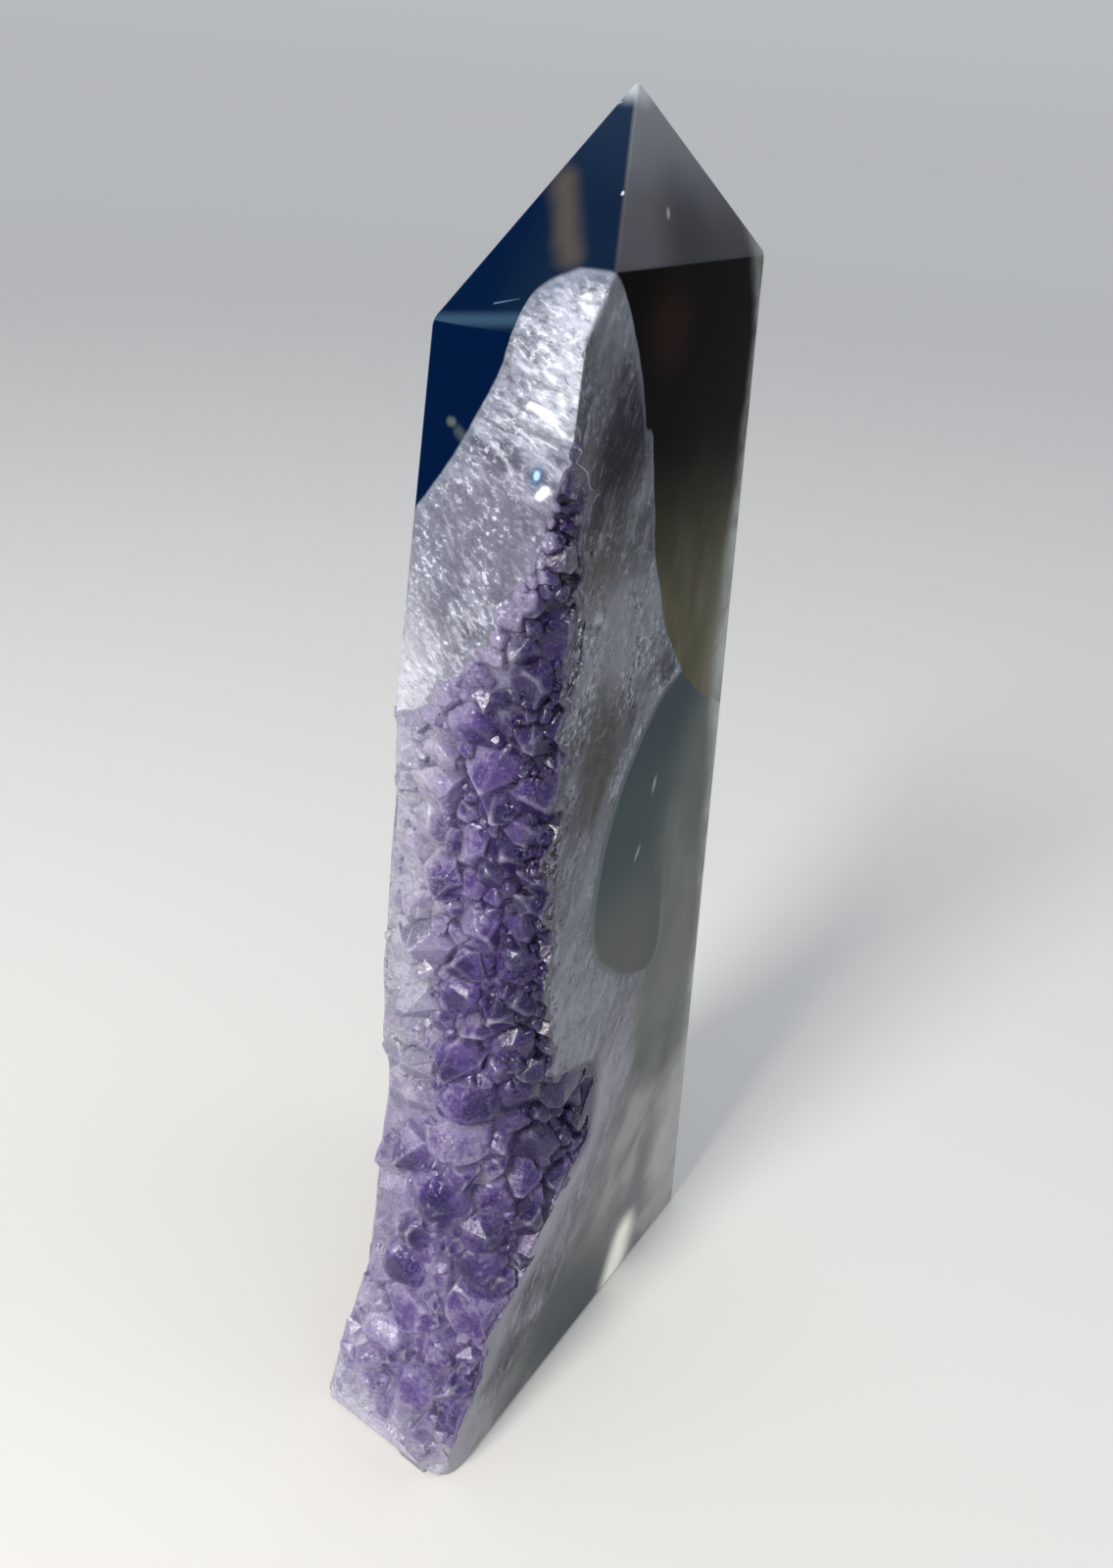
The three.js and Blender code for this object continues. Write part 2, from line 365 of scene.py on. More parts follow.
def bed_point(height, y, inset=0.0):
    """A point of the bed. Inset moves it out of the stone."""
    at_back, at_middle, reach = bed_at(height)
    edge = left_edge_x(height) - inset
    knots_y = [-10, 0, 1.5, 5, FOOT_DEPTH_LEFT / 2, FOOT_DEPTH_LEFT - 1, FOOT_DEPTH_LEFT + 10]
    knots_x = [
        reach + 1,
        reach,
        reach + BED_UNDERCUT / 2,
        (at_middle + reach) / 2 + BED_UNDERCUT,
        at_middle,
        at_back,
        at_back + 1,
    ]
    # Coarse and fine steps make the hollow's front edge ragged. They die out 5 mm behind the front face.
    ragged = 3.0 * lumps((0, 0, height), 4, 2) + 2.4 * lumps((0, 0, height), 1.7, 4)
    depth = float(np.interp(y, knots_y, knots_x)) + ragged * clamped(1.3 - y / 4)
    # From 100 mm up the shallow part of the bed leaves the stone more steeply.
    if depth < SHALLOW:
        depth = SHALLOW - (SHALLOW - depth) * (1 + 1.2 * clamped((height - 100) / 15))
    return Vector((edge + depth, y, height))


CUTTER_MARGIN, CUTTER_LEFT = 8, -30  # how far the cutter reaches past the stone


def hollow_side(inset, step, rough=0.0):
    """Everything on the hollow's side of the bed, closed. Inset is a length, or a function of the place."""
    heights = np.arange(BED_ROWS[0][0], BED_ROWS[-1][0] + step / 2, step)
    across = np.arange(-CUTTER_MARGIN, FOOT_DEPTH_LEFT + CUTTER_MARGIN + step / 2, step)
    rows = len(across)
    verts = []
    for height in heights:
        for y in across:
            point = bed_point(height, y, inset(height, y) if callable(inset) else inset)
            if rough:
                # lumps of 5, 2 and 0.9 mm
                point.x += rough * (lumps(point, 5) + 0.5 * lumps(point, 2, 3) + 0.3 * lumps(point, 0.9, 7))
                point.z += rough * 0.6 * lumps(point, 3, 11)
            verts.append(point)

    def grid(i, j):
        return i * rows + j

    faces = []
    for i in range(len(heights) - 1):
        for j in range(rows - 1):
            faces.append((grid(i, j), grid(i, j + 1), grid(i + 1, j + 1), grid(i + 1, j)))
    rim = [grid(0, j) for j in range(rows)]
    rim += [grid(i, rows - 1) for i in range(1, len(heights))]
    rim += [grid(len(heights) - 1, j) for j in range(rows - 2, -1, -1)]
    rim += [grid(i, 0) for i in range(len(heights) - 2, 0, -1)]
    base = len(verts)
    for k in rim:
        verts.append(Vector((CUTTER_LEFT, verts[k].y, verts[k].z)))
    count = len(rim)
    for k in range(count):
        faces.append((rim[k], rim[(k + 1) % count], base + (k + 1) % count, base + k))
    faces.append(tuple(base + k for k in range(count)))
    mesh = bpy.data.meshes.new("hollow")
    mesh.from_pydata(verts, [], faces)
    bm = bmesh.new()
    bm.from_mesh(mesh)
    bmesh.ops.triangulate(bm, faces=[f for f in bm.faces if len(f.verts) > 4])
    bmesh.ops.recalc_face_normals(bm, faces=bm.faces)
    bm.to_mesh(mesh)
    bm.free()
    return mesh


def add_boolean(piece, operation, tool_mesh):
    tool = link_object(piece.name + "_tool", tool_mesh)
    cut = piece.modifiers.new(operation.lower(), "BOOLEAN")
    cut.operation = operation
    cut.object = tool
    cut.solver = "MANIFOLD"
    cut.material_mode = "TRANSFER"
    return tool


# The stone's colours follow from a place's distances, in millimetres, from the foot's front left corner.


class Value:
    """What a node gives out. Sums of values are written as arithmetic, and each step adds a math node."""

    def __init__(self, socket):
        self.socket = socket
        self.tree = socket.id_data
        self.is_number = socket.type == "VALUE"

    def step(self, operation, *others):
        kind = "ShaderNodeMath" if self.is_number else "ShaderNodeVectorMath"
        made = add_node(self.tree, kind, dict(enumerate((self, *others))), operation=operation)
        gives_vector = not self.is_number and operation not in ("LENGTH", "DOT_PRODUCT")
        return Value(made.outputs["Vector" if gives_vector else "Value"])

    def __add__(self, other):
        return self.step("ADD", other)

    __radd__ = __add__

    def __sub__(self, other):
        return self.step("SUBTRACT", other)

    def __rsub__(self, number):
        made = add_node(self.tree, "ShaderNodeMath", {0: number, 1: self}, operation="SUBTRACT")
        return Value(made.outputs[0])

    def __mul__(self, other):
        if self.is_number:
            return self.step("MULTIPLY", other)
        return self.step("SCALE", (0, 0, 0), (0, 0, 0), other)

    __rmul__ = __mul__

    def __truediv__(self, other):
        return self.step("DIVIDE", other)

    def __abs__(self):
        return self.step("ABSOLUTE")

    def at_least(self, other):
        return self.step("MAXIMUM", other)

    def at_most(self, other):
        return self.step("MINIMUM", other)

    def dot(self, other):
        return self.step("DOT_PRODUCT", other)

    def length(self):
        return self.step("LENGTH")


def read(made, output=0):
    """One output of a node, ready for sums."""
    return Value(made.outputs[output])


def millimetres(tree):
    """Object coordinates in millimetres from the foot's front left corner."""
    mapping = {
        "Vector": read(add_node(tree, "ShaderNodeTexCoord"), "Object"),
        "Location": (FOOT_WIDTH / 2, FOOT_DEPTH_RIGHT / 2, 0),
        "Scale": (1000, 1000, 1000),
    }
    return read(add_node(tree, "ShaderNodeMapping", mapping))


def split(position):
    parts = add_node(position.tree, "ShaderNodeSeparateXYZ", {0: position})
    return [Value(socket) for socket in parts.outputs]


def warped(position, size, amount):
    """The position pushed about by noise of the given size, both in millimetres."""
    noise_inputs = {"Vector": position, "Scale": 1 / size, "Detail": 3.0}
    wander = add_node(position.tree, "ShaderNodeTexNoise", noise_inputs)
    shift = read(wander, "Color") + (-0.5, -0.5, -0.5)
    return position + shift * (amount * 2)


def directed(position, turn, stretch, tip=0):
    """The position turned about the depth and tipped about the width, in degrees, then divided by sizes."""
    angles = (math.radians(tip), math.radians(turn), 0)
    turned = add_node(position.tree, "ShaderNodeMapping", {"Vector": position, "Rotation": angles})
    return read(turned) / stretch


def clouds(position, detail=3.0, rough=0.5, distortion=0.0):
    """Noise 1 in size, with the given detail, roughness and distortion."""
    noise_inputs = {
        "Vector": position,
        "Scale": 1.0,
        "Detail": detail,
        "Roughness": rough,
        "Distortion": distortion,
    }
    return read(add_node(position.tree, "ShaderNodeTexNoise", noise_inputs), "Fac")


def blend(share, first, second):
    """The first colour where share is 0, the second where it is 1. A colour may be an sRGB hex value."""
    tree = next(v.tree for v in (share, first, second) if isinstance(v, Value))
    first, second = (linear(colour) if isinstance(colour, str) else colour for colour in (first, second))
    return read(add_node(tree, "ShaderNodeMix", {0: share, 6: first, 7: second}, data_type="RGBA"), 2)


def ramp(value, low, high):
    """0 at low and 1 at high, eased."""
    limits = {"Value": value, "From Min": low, "From Max": high}
    return read(add_node(value.tree, "ShaderNodeMapRange", limits, interpolation_type="SMOOTHSTEP"))


def blob(position, centre, radii, turn, soft):
    """1 inside an ellipsoid and 0 outside, fading over soft as a share of its radii."""
    shape = {"Vector": position, "Location": centre, "Rotation": (0, math.radians(turn), 0), "Scale": radii}
    local = read(add_node(position.tree, "ShaderNodeMapping", shape, vector_type="TEXTURE"))
    return ramp(local.length(), 1 + soft, 1 - soft)


def rod(position, start, end, radius, soft):
    """1 within radius of the line from start to end, fading over soft as a share of the radius."""
    start, end = Vector(start), Vector(end)
    along = (end - start) / (end - start).length_squared
    from_start = position - tuple(start)
    share = read(add_node(position.tree, "ShaderNodeClamp", {0: from_start.dot(tuple(along))}))
    line = {0: tuple(end - start), "Scale": share}
    nearest = read(add_node(position.tree, "ShaderNodeVectorMath", line, operation="SCALE"))
    return ramp((from_start - nearest).length(), radius * (1 + soft), radius * (1 - soft))


def patched(colour, position, patches):
    """Lays soft patches over a colour: (hex colour, centre, radii, turn in degrees, softness, strength)."""
    for hex_colour, centre, radii, turn, soft, strength in patches:
        colour = blend(blob(position, centre, radii, turn, soft) * strength, colour, hex_colour)
    return colour


def curve(value, points):
    """A smooth curve through points, each a pair of real values."""
    xs, ys = [p[0] for p in points], [p[1] for p in points]
    width, low, height = xs[-1] - xs[0], min(ys), max(ys) - min(ys)
    bent = add_node(value.tree, "ShaderNodeFloatCurve", {"Value": (value - xs[0]) / width})
    line = bent.mapping.curves[0]
    scaled = [((x - xs[0]) / width, (y - low) / height) for x, y in points]
    line.points[0].location = scaled[0]
    line.points[1].location = scaled[-1]
    for place in scaled[1:-1]:
        line.points.new(*place)
    bent.mapping.update()
    return read(bent) * height + low


def glitter(position, size, tilt):
    """A normal that tips at random from grain to grain, as on broken quartz."""
    cells = add_node(position.tree, "ShaderNodeTexVoronoi", {"Vector": position, "Scale": 1 / size})
    tipped = (read(cells, "Color") + (-0.5, -0.5, -0.5)) * tilt
    upright = read(add_node(position.tree, "ShaderNodeNewGeometry"), "Normal")
    return (upright + tipped).step("NORMALIZE")


def depths(position):
    """How deep a point lies behind the left face, the left crown, the front face and the front crown."""
    front_right = meet(front, right, level(SHOULDER["front_right"]))
    left_crown_normal = (front_left - TIP).cross(back_left - TIP).normalized()
    front_crown_normal = (front_right - TIP).cross(FRONT_RISE - TIP).normalized()
    results = []
    for side, crown_normal in ((left, left_crown_normal), (front, front_crown_normal)):
        crown_normal = -crown_normal if crown_normal.z < 0 else crown_normal
        for normal, distance in (side, (crown_normal, crown_normal.dot(TIP))):
            results.append(distance - position.dot(tuple(normal)))
    return results


def frosted_quartz(position, soft, inside=1.0):
    """Coarse quartz in full light: silver streaks near the arris at the top, granular lower down, with a
    painted highlight along the ridge.
    """
    wavy = warped(position, 5, 0.9)
    height = split(wavy)[2] - split(soft)[1] * 0.6
    upper = ramp(height, 126, 140)
    fibres = clouds(directed(wavy, 0, (1.6, 2.6, 0.75), tip=-17), 3.5, 0.6, 0.4)
    feathers = clouds(directed(wavy, 0, (2.5, 6.0, 1.9), tip=-17), 3.0, 0.6, 0.3)
    grain = clouds(directed(position, 0, (0.7, 1.1, 0.6), tip=-20), 4.0, 0.72)
    patches = clouds(wavy / (4.5, 4.5, 4.5), 4.0, 0.6)
    falls = clouds(directed(wavy, 0, (1.6, 3.4, 0.8), tip=-48), 4.0, 0.66, 0.4)
    low = blend(ramp(patches, 0.36, 0.64), "#52535f", "#7a7d8b")
    low = blend(ramp(falls, 0.5, 0.64) * 0.55, low, "#bfc1ce")
    low = blend(ramp(falls, 0.46, 0.36) * 0.35, low, "#4a4b59")
    high = blend(ramp(feathers, 0.36, 0.64), "#494b59", "#878a99")
    colour = blend(upper, low, high)
    # Painted highlight: near the top of the arris the quartz is painted pale, and its fibres brighter.
    ridge_highlight = blob(soft, (16, 2, 157), (12, 6.5, 9), 0, 0.75) * inside
    colour = blend(ridge_highlight * 0.7, colour, "#bcc1cf")
    shine = upper * (ridge_highlight * 0.5 + 0.35)
    colour = blend(ramp(fibres, 0.5, 0.66) * shine, colour, "#dde3f0")
    shade = ramp(fibres, 0.46, 0.34) * (upper * 0.55)
    colour = blend(shade, colour, "#454653")
    tints = [
        ("#b2b4c0", (12.5, 20, 112), (8, 7, 11), 0, 0.8, 0.6),
        ("#c6c9d5", (12.5, 22.5, 120), (6, 5, 9), 0, 0.8, 0.45),
        ("#6a6c7c", (14, 16, 135), (8, 7, 8), 0, 0.8, 0.6),
        ("#625f74", (14, 8, 137), (8, 6, 6), 0, 0.8, 0.6),
        ("#aaa7b8", (3, 12, 1), (14, 22, 11), 0, 0.5, 0.9),
    ]
    colour = patched(colour, soft, tints)
    flecks = ramp(patches, 0.42, 0.62) * 0.5 + 0.12
    colour = blend(ramp(grain, 0.54, 0.62) * flecks, colour, "#dfe3ef")
    colour = blend(ramp(grain, 0.46, 0.38) * 0.35, colour, "#42424f")
    for start, end, radius in [
        ((15.9, 8.2, 150.1), (15.8, 4.8, 149.5), 0.4),
        ((16.0, 4.5, 151.7), (16.0, 4.0, 151.2), 0.5),
    ]:
        colour = blend(rod(soft, start, end, radius, 0.7), colour, "#fbfdff")
    near = warped(position, 1.5, 0.4)
    # A small blue mineral grain with a paler centre, and beside it a painted glint, the near-white rod
    for hex_colour, start, end, radius in [
        ("#3f5a78", (15.3, 6.1, 143.8), (15.3, 5.8, 144.4), 0.75),
        ("#a9cbe6", (15.3, 6.1, 144.0), (15.3, 5.9, 144.4), 0.35),
        ("#f2f3fa", (15.2, 5.3, 142.3), (15.2, 4.7, 142.9), 0.5),
    ]:
        colour = blend(rod(near, start, end, radius, 0.6) * 0.85, colour, hex_colour)
    return colour


# Agate and quartz, sawn and polished to a gloss
agate, tree = new_material("polished_agate")
place = millimetres(tree)
place_warped = warped(place, 9, 0.7)
place_soft = warped(place, 16, 2.5)
x, y, z = split(place_warped)
soft_x, soft_y, soft_z = split(place_soft)
true_x, true_y, true_z = split(place)

# Quartz ends at a dome that falls away to the right and to the back. Above it the agate is dark.
front_dome = [
    (0, 178), (16, 169), (20.7, 163.6), (23.4, 161.4), (26.1, 157.1), (28.4, 152.5), (29.4, 149.5),
    (29.9, 147.7), (31.4, 147.0), (32.1, 144.5), (33.6, 138.1), (34.6, 133.3), (36.9, 128), (39.8, 122.3),
    (43.4, 117.3), (46.9, 113.5), (54.4, 108.2), (70, 100),
]
side_dome = [
    (0, 165), (3.6, 164), (7.5, 162.7), (9.5, 161.5), (10.7, 159.8), (11.1, 157), (11.8, 154.1),
    (13.5, 150.1), (16.4, 144.8), (20, 139.3), (21.4, 137), (23, 128), (26, 120), (30, 112),
]
dome_z = curve(x, front_dome).at_most(curve(y, side_dome))
above_dome = z - dome_z
dark_agate = ramp(above_dome, -0.3, 0.4)

# How far in from the left-hand faces and from the front ones. Left of the arris the quartz is silver, and the
# dark agate is painted navy, a painted reflection of blue sky on its polished faces.
left_side, left_top, front_side, front_top = depths(place)
into_left = left_side.at_most(left_top)
into_front = front_side.at_most(front_top)
side_gap = into_front - into_left
past_crown = {0: ramp(side_gap, -0.3, 0.3), 2: front_side - front_top, 3: left_side - left_top}
on_point = ramp(read(add_node(tree, "ShaderNodeMix", past_crown)), -0.05, 0.05)
# Seen from behind, the point begins at the back shoulder, which rises to the right.
BACK_SHOULDER_START, BACK_SHOULDER_RISE = 155.29, 0.089
over_shoulder = true_z - BACK_SHOULDER_START - true_x * BACK_SHOULDER_RISE
below_back = ramp(over_shoulder, 0.05, -0.05) * ramp(true_y, 14, 15)
on_point = on_point * (1.0 - below_back)
side_blur = into_front.at_most(into_left).at_least(0.0) * 0.5 + 0.4
on_left = ramp(side_gap / side_blur, -1.0, 1.0)

# Right-hand limit of the quartz on the front, crisp beside the blue-grey tongue and misty below it
quartz_rows = [
    (0, 5), (9, 16), (17, 25.5), (25, 33), (35, 38.5), (42, 42.5), (50, 43.8), (58, 43.6), (64, 44),
    (67, 44.4), (68.6, 40.6), (70.5, 37), (73.1, 34.2), (78.9, 29.2), (85, 27.7), (92.8, 28.5),
    (101.4, 31.2), (107.3, 35.2), (112, 39.5), (115, 46), (118, 58), (180, 70),
]
blur_rows = [(0, 2), (15, 3), (30, 6), (48, 4.5), (62, 2.5), (67, 1.2), (72, 0.7), (180, 0.6)]
to_limit = curve(z, quartz_rows) - x
quartz = ramp(to_limit / curve(z, blur_rows), -1.0, 1.0)

# Grey-green chalcedony, with white clouds low down
slow = clouds(place_soft / (15, 20, 22))
puffs = clouds(directed(place_soft, 40, (11, 12, 7)), 3.0, 0.5, 0.3)
chalcedony = blend(ramp(slow, 0.35, 0.68), "#5c625e", "#70766f")
lobe_foot = [
    (0, 66), (38, 64), (43.4, 58), (44.5, 52), (46.6, 45.9), (51.8, 40), (57.7, 38.1), (63, 40.1), (70, 46),
]
under_lobe = curve(soft_x, lobe_foot) - soft_z
cloud_colour = blend(ramp(puffs, 0.34, 0.66), "#717375", "#959493")
chalcedony = blend(ramp(under_lobe, -4.0, 4.0), chalcedony, cloud_colour)
AGATE_PATCHES = [
    ("#6b6c66", (56, 4, 66), (7, 40, 9), 0, 0.8, 0.7),
    ("#4b5153", (31, 3, 8), (18, 14, 13), 28, 0.6, 0.95),
    ("#b5b8b5", (61, 4, 106), (4, 12, 9), 0, 0.7, 0.9),
    ("#b3b4b1", (62, 4, 20), (5, 14, 16), 0, 0.8, 0.7),
]
body_colour = patched(chalcedony, place_soft, AGATE_PATCHES)
bright_spot = rod(place_soft, (49.6, 0.5, 8.4), (46.4, 0.5, 1.0), 3.4, 0.8)
body_colour = blend(bright_spot * 0.95, body_colour, "#fffdf0")

# A tongue of clear blue-grey agate hangs beside the quartz, with a thin pale outline round its tip.
tongue_right = [
    (0, 40), (60, 42), (66.4, 43.5), (67.6, 46.8), (70.3, 48.4), (78.6, 48.1), (88.4, 46.5), (97, 48),
    (107.3, 52.6), (120, 62), (180, 80),
]
past_tongue = x - curve(z, tongue_right)
tongue_blur = curve(z, [(0, 0.7), (72, 0.7), (80, 2.5), (90, 4), (180, 6)])
tongue = ramp(past_tongue / tongue_blur, 1.0, -1.0)
tongue = tongue * ramp(z, 66.8, 68.2)
tongue_colour = blend(ramp(soft_z, 94, 76), "#414d50", "#5a5e5b")
tongue_colour = blend(ramp(soft_z, 98, 110), tongue_colour, "#3a464a")
tongue_colour = blend(ramp(past_tongue, -8, -1) * 0.6, tongue_colour, "#4c5457")
specks_in_tongue = [
    ("#a3a8a6", (41.6, 2, 99.6), (0.35, 3, 1.0), 15, 0.9, 0.8),
    ("#a3a8a6", (38.6, 2, 90.4), (0.35, 3, 0.8), 15, 0.9, 0.8),
]
tongue_colour = patched(tongue_colour, place_soft, specks_in_tongue)
body_colour = blend(tongue, body_colour, tongue_colour)
left_rim = ramp(abs(to_limit + 0.5), 0.8, 0.1)
left_rim = left_rim * (ramp(z, 65, 68) * ramp(z, 118, 110))
right_rim = ramp(abs(past_tongue - 0.3), 0.7, 0.1)
right_rim = right_rim * (ramp(z, 65, 67) * ramp(z, 96, 72))
tongue_rim = left_rim.at_least(right_rim * 0.8)
body_colour = blend(tongue_rim * 0.3, body_colour, "#8a9294")

# Coarse quartz. On the left its fibres lie level and shine like silver. On the front they lean, and are
# darker.
place_wavy = warped(place, 5, 0.9)
feathers = clouds(directed(place_wavy, -24, (1.5, 3.0, 4.5)), 4.0, 0.6, 0.6)
grains = clouds(directed(place_wavy, -24, (0.7, 1.2, 0.95)), 4.0, 0.75, 0.3)
banks = clouds(directed(place_soft, -24, (5, 8, 9)), 3.0, 0.55, 0.4)
lumps_near = clouds(place_warped / (4.5, 4.5, 4.5), 4.0, 0.6)

left_quartz = frosted_quartz(place, place_soft, ramp(above_dome, -0.8, -2.8))
front_quartz = blend(ramp(banks, 0.34, 0.66), "#4a4c52", "#6e7077")
front_quartz = patched(
    front_quartz,
    place_soft,
    [
        ("#71767d", (22.0, 3, 160), (3, 6, 3.5), 0, 0.6, 0.6),
        ("#504b49", (23.5, 3, 134), (5, 8, 10), -10, 0.6, 0.85),
        ("#8d8f99", (26, 3, 68), (13, 10, 12), 30, 0.7, 0.8),
        ("#908f98", (38, 3, 50), (7, 10, 12), 20, 0.7, 0.9),
        ("#7d8087", (22, 3, 86), (6, 10, 13), 0, 0.7, 0.55),
        ("#868991", (27, 3, 123.5), (12, 8, 7), -14, 0.6, 0.75),
        ("#92919a", (27, 3, 34), (10, 12, 10), 30, 0.7, 0.7),
        ("#a6a5ab", (5, 3, 4), (9, 12, 8), 30, 0.7, 0.7),
    ],
)
brown_glass = blob(place_soft, (26.3, 3, 109), (4.6, 8, 9.5), -6, 0.5)
dark_glass = blob(place_soft, (25.5, 3, 147), (6, 8, 9), 30, 0.6)
front_quartz = blend(brown_glass * 0.9, front_quartz, "#4b4744")
front_quartz = blend(dark_glass * 0.92, front_quartz, "#1b1a24")
beside_tongue = ramp(to_limit, 0.0, 0.8) * ramp(to_limit, 5.5, 2.5)
beside_tongue = beside_tongue * (ramp(z, 82, 92) * ramp(z, 124, 116))
front_quartz = blend(beside_tongue * 0.5, front_quartz, "#858990")
clear_glass = brown_glass.at_least(dark_glass)
milky_share = 1.0 - clear_glass * 0.75
feather_share = curve(z, [(0, 0.5), (50, 0.6), (80, 0.5), (100, 0.3), (125, 0.25), (140, 0.4), (180, 0.6)])
feather_share = milky_share * feather_share
pale_feathers = ramp(feathers, 0.5, 0.68) * feather_share
front_quartz = blend(pale_feathers, front_quartz, "#9fa1aa")
dim_feathers = ramp(feathers, 0.47, 0.35) * (feather_share * 0.6)
front_quartz = blend(dim_feathers, front_quartz, "#44454d")
grain_share = curve(
    z,
    [
        (0, 0.25), (60, 0.25), (80, 0.4), (100, 0.45), (112, 0.6), (121, 0.85), (130, 0.6), (140, 0.4),
        (180, 0.5),
    ],
)
grain_share = milky_share * (grain_share + beside_tongue * 0.4)
grain_share = grain_share * (ramp(lumps_near, 0.38, 0.62) * 0.85 + 0.1)
front_quartz = blend(ramp(grains, 0.51, 0.63) * grain_share, front_quartz, "#b3b6c0")
front_quartz = blend(ramp(grains, 0.47, 0.36) * grain_share, front_quartz, "#2b2a31")
# Low on the tower the quartz is palest along the hollow. Violet crystals show through it by the widest part.
border_rows = [
    (0, 0), (10, 2), (15, 6), (22, 10.3), (30, 18), (36, 24.8), (46, 32.3), (56, 31.9), (62, 24), (70, 19),
    (100, 17), (180, 17),
]
from_border = x - curve(z, border_rows)
pale_border = ramp(from_border, 8.0, 1.5) * ramp(z, 62, 50)
front_quartz = blend(pale_border * 0.6, front_quartz, "#a3a0ab")
violet_border = ramp(from_border, 3.5, 0.0) * (ramp(z, 36, 44) * ramp(z, 66, 58))
front_quartz = blend(violet_border * 0.75, front_quartz, "#4a3a58")
# Broken grains beside the hollow, black, with near-white flecks painted as glints
broken_rows = [
    (0, 0), (56, 2), (62, 21), (70, 20.3), (78, 18.9), (86, 18.3), (92, 18.2), (100, 18.6), (106, 18.9),
    (112, 17), (119, 18.2), (126, 20.5), (131, 16.7), (137, 12), (180, 0),
]
in_broken = ramp(curve(z, broken_rows) - x, -0.8, 0.8)
broken_cells = add_node(tree, "ShaderNodeTexVoronoi", {"Vector": place_warped, "Scale": 1.1})
broken_tone = read(add_node(tree, "ShaderNodeSeparateColor", {0: read(broken_cells, "Color")}), "Green")
broken_colour = blend(ramp(broken_tone, 0.2, 0.95), "#0d0a12", "#827e96")
broken_colour = blend(ramp(grains, 0.56, 0.64), broken_colour, "#d9d9e2")
front_quartz = blend(in_broken * 0.85, front_quartz, broken_colour)
quartz_colour = blend(on_left, front_quartz, left_quartz)
dome_rim = ramp(above_dome, -2.4, -0.4) * (on_left * 0.2 + 0.4)
quartz_colour = blend(dome_rim, quartz_colour, "#6b7484")
body_colour = blend(quartz, body_colour, quartz_colour)

# Dark agate over the dome: near black on the front, olive lower down, and painted navy to the left and up the
# point, a painted reflection of blue sky
streaks = clouds(place_soft / (6, 8, 18), 2.5)
olive = blend(ramp(streaks, 0.35, 0.65), "#4b4836", "#656354")
olive = blend(ramp(soft_x, 46, 58), olive, "#68675a")
darkness = ramp(soft_z + streaks * 12.0, 124, 152)
dark_colour = blend(darkness, olive, "#020101")
dark_colour = patched(dark_colour, place_soft, [("#3a2014", (33, 2.3, 158), (4, 3, 4), 0, 0.9, 0.35)])
# The point is painted lighter than the stone under it: warm grey in front, partly a milkier stone and partly
# a painted reflection of the grey room; slate blue at the left, a painted reflection of blue sky.
front_point_milk_and_reflection = blend(ramp(soft_z, 164, 179), "#3d3e43", "#74787d")
front_point_milk_and_reflection = patched(
    front_point_milk_and_reflection,
    place_soft,
    [
        ("#57535a", (26, 4, 166.5), (6, 5, 4.5), 0, 0.8, 0.8),
        ("#2f3136", (37, 4, 166.5), (5, 5, 4), 0, 0.8, 0.6),
    ],
)
dark_colour = blend(on_point, dark_colour, front_point_milk_and_reflection)
# Painted reflection of blue sky on the left of the point, lighter towards its top
left_point_sky_reflection = blend(ramp(soft_y, 17, 10), "#00112e", "#0a1a2f")
left_point_sky_reflection = blend(ramp(soft_z, 169, 178), left_point_sky_reflection, "#16253a")
navy_sky_reflection = blend(on_point, "#00102f", left_point_sky_reflection)
veil = rod(place, (17.1, 22, 156.7), (17.4, 11.5, 158.3), 0.7, 0.8)
navy_sky_reflection = blend(veil * (on_point * 0.5), navy_sky_reflection, "#3c566e")
tan_streak = rod(place_soft, (26.5, 12.4, 170.4), (22.2, 9.0, 164.6), 1.35, 0.95)
navy_sky_reflection = blend(tan_streak * 0.6, navy_sky_reflection, "#524b40")
dark_colour = blend(on_left, dark_colour, navy_sky_reflection)
for hex_colour, start, end, radius in [
    ("#b9bcc0", (25.9, 5.3, 169.9), (26.0, 5.3, 170.1), 0.13),
    ("#8f9194", (33.1, 4.5, 167.3), (34.0, 4.0, 169.3), 0.28),
    ("#8c98a8", (31.5, 10.9, 177.4), (31.8, 9.9, 177.8), 0.09),
    ("#50677f", (18.5, 14.6, 159.2), (19.0, 11.9, 159.9), 0.08),
    ("#4b5450", (15.9, 17.7, 147.4), (15.9, 17.4, 147.4), 0.42),
    ("#343f45", (15.8, 16.5, 146.6), (15.8, 15.9, 146.2), 0.55),
]:
    dark_colour = blend(rod(place, start, end, radius, 0.8), dark_colour, hex_colour)
body_colour = blend(dark_agate, body_colour, dark_colour)

# Painted light along the right-hand edge: a pale strip where light shines through the thin, translucent edge
# of the agate
right_edge_x = FOOT_WIDTH - soft_z * math.tan(math.radians(LEAN["right"]))
outer = right_edge_x - (soft_x + soft_y * 0.1)
glow_width = curve(true_z, [(0, 5), (60, 4), (95, 5.5), (115, 6.5), (135, 4.2), (150, 3.6), (163, 5.5), (180, 6)])
edge_glow_share = ramp(outer / glow_width, 1.0, 0.0)
edge_glow_mist = clouds(place_soft / (4, 6, 7), 4.0, 0.6)
edge_glow_share = edge_glow_share * (ramp(edge_glow_mist, 0.32, 0.66) * 0.75 + 0.3)
body_colour = blend(edge_glow_share, body_colour, "#a7ada9")
frosted_tip = blob(place, (33.3, 9.1, 180.5), (2.6, 2.6, 2.6), 0, 0.5)
body_colour = blend(frosted_tip * 0.7, body_colour, "#b9c0c4")

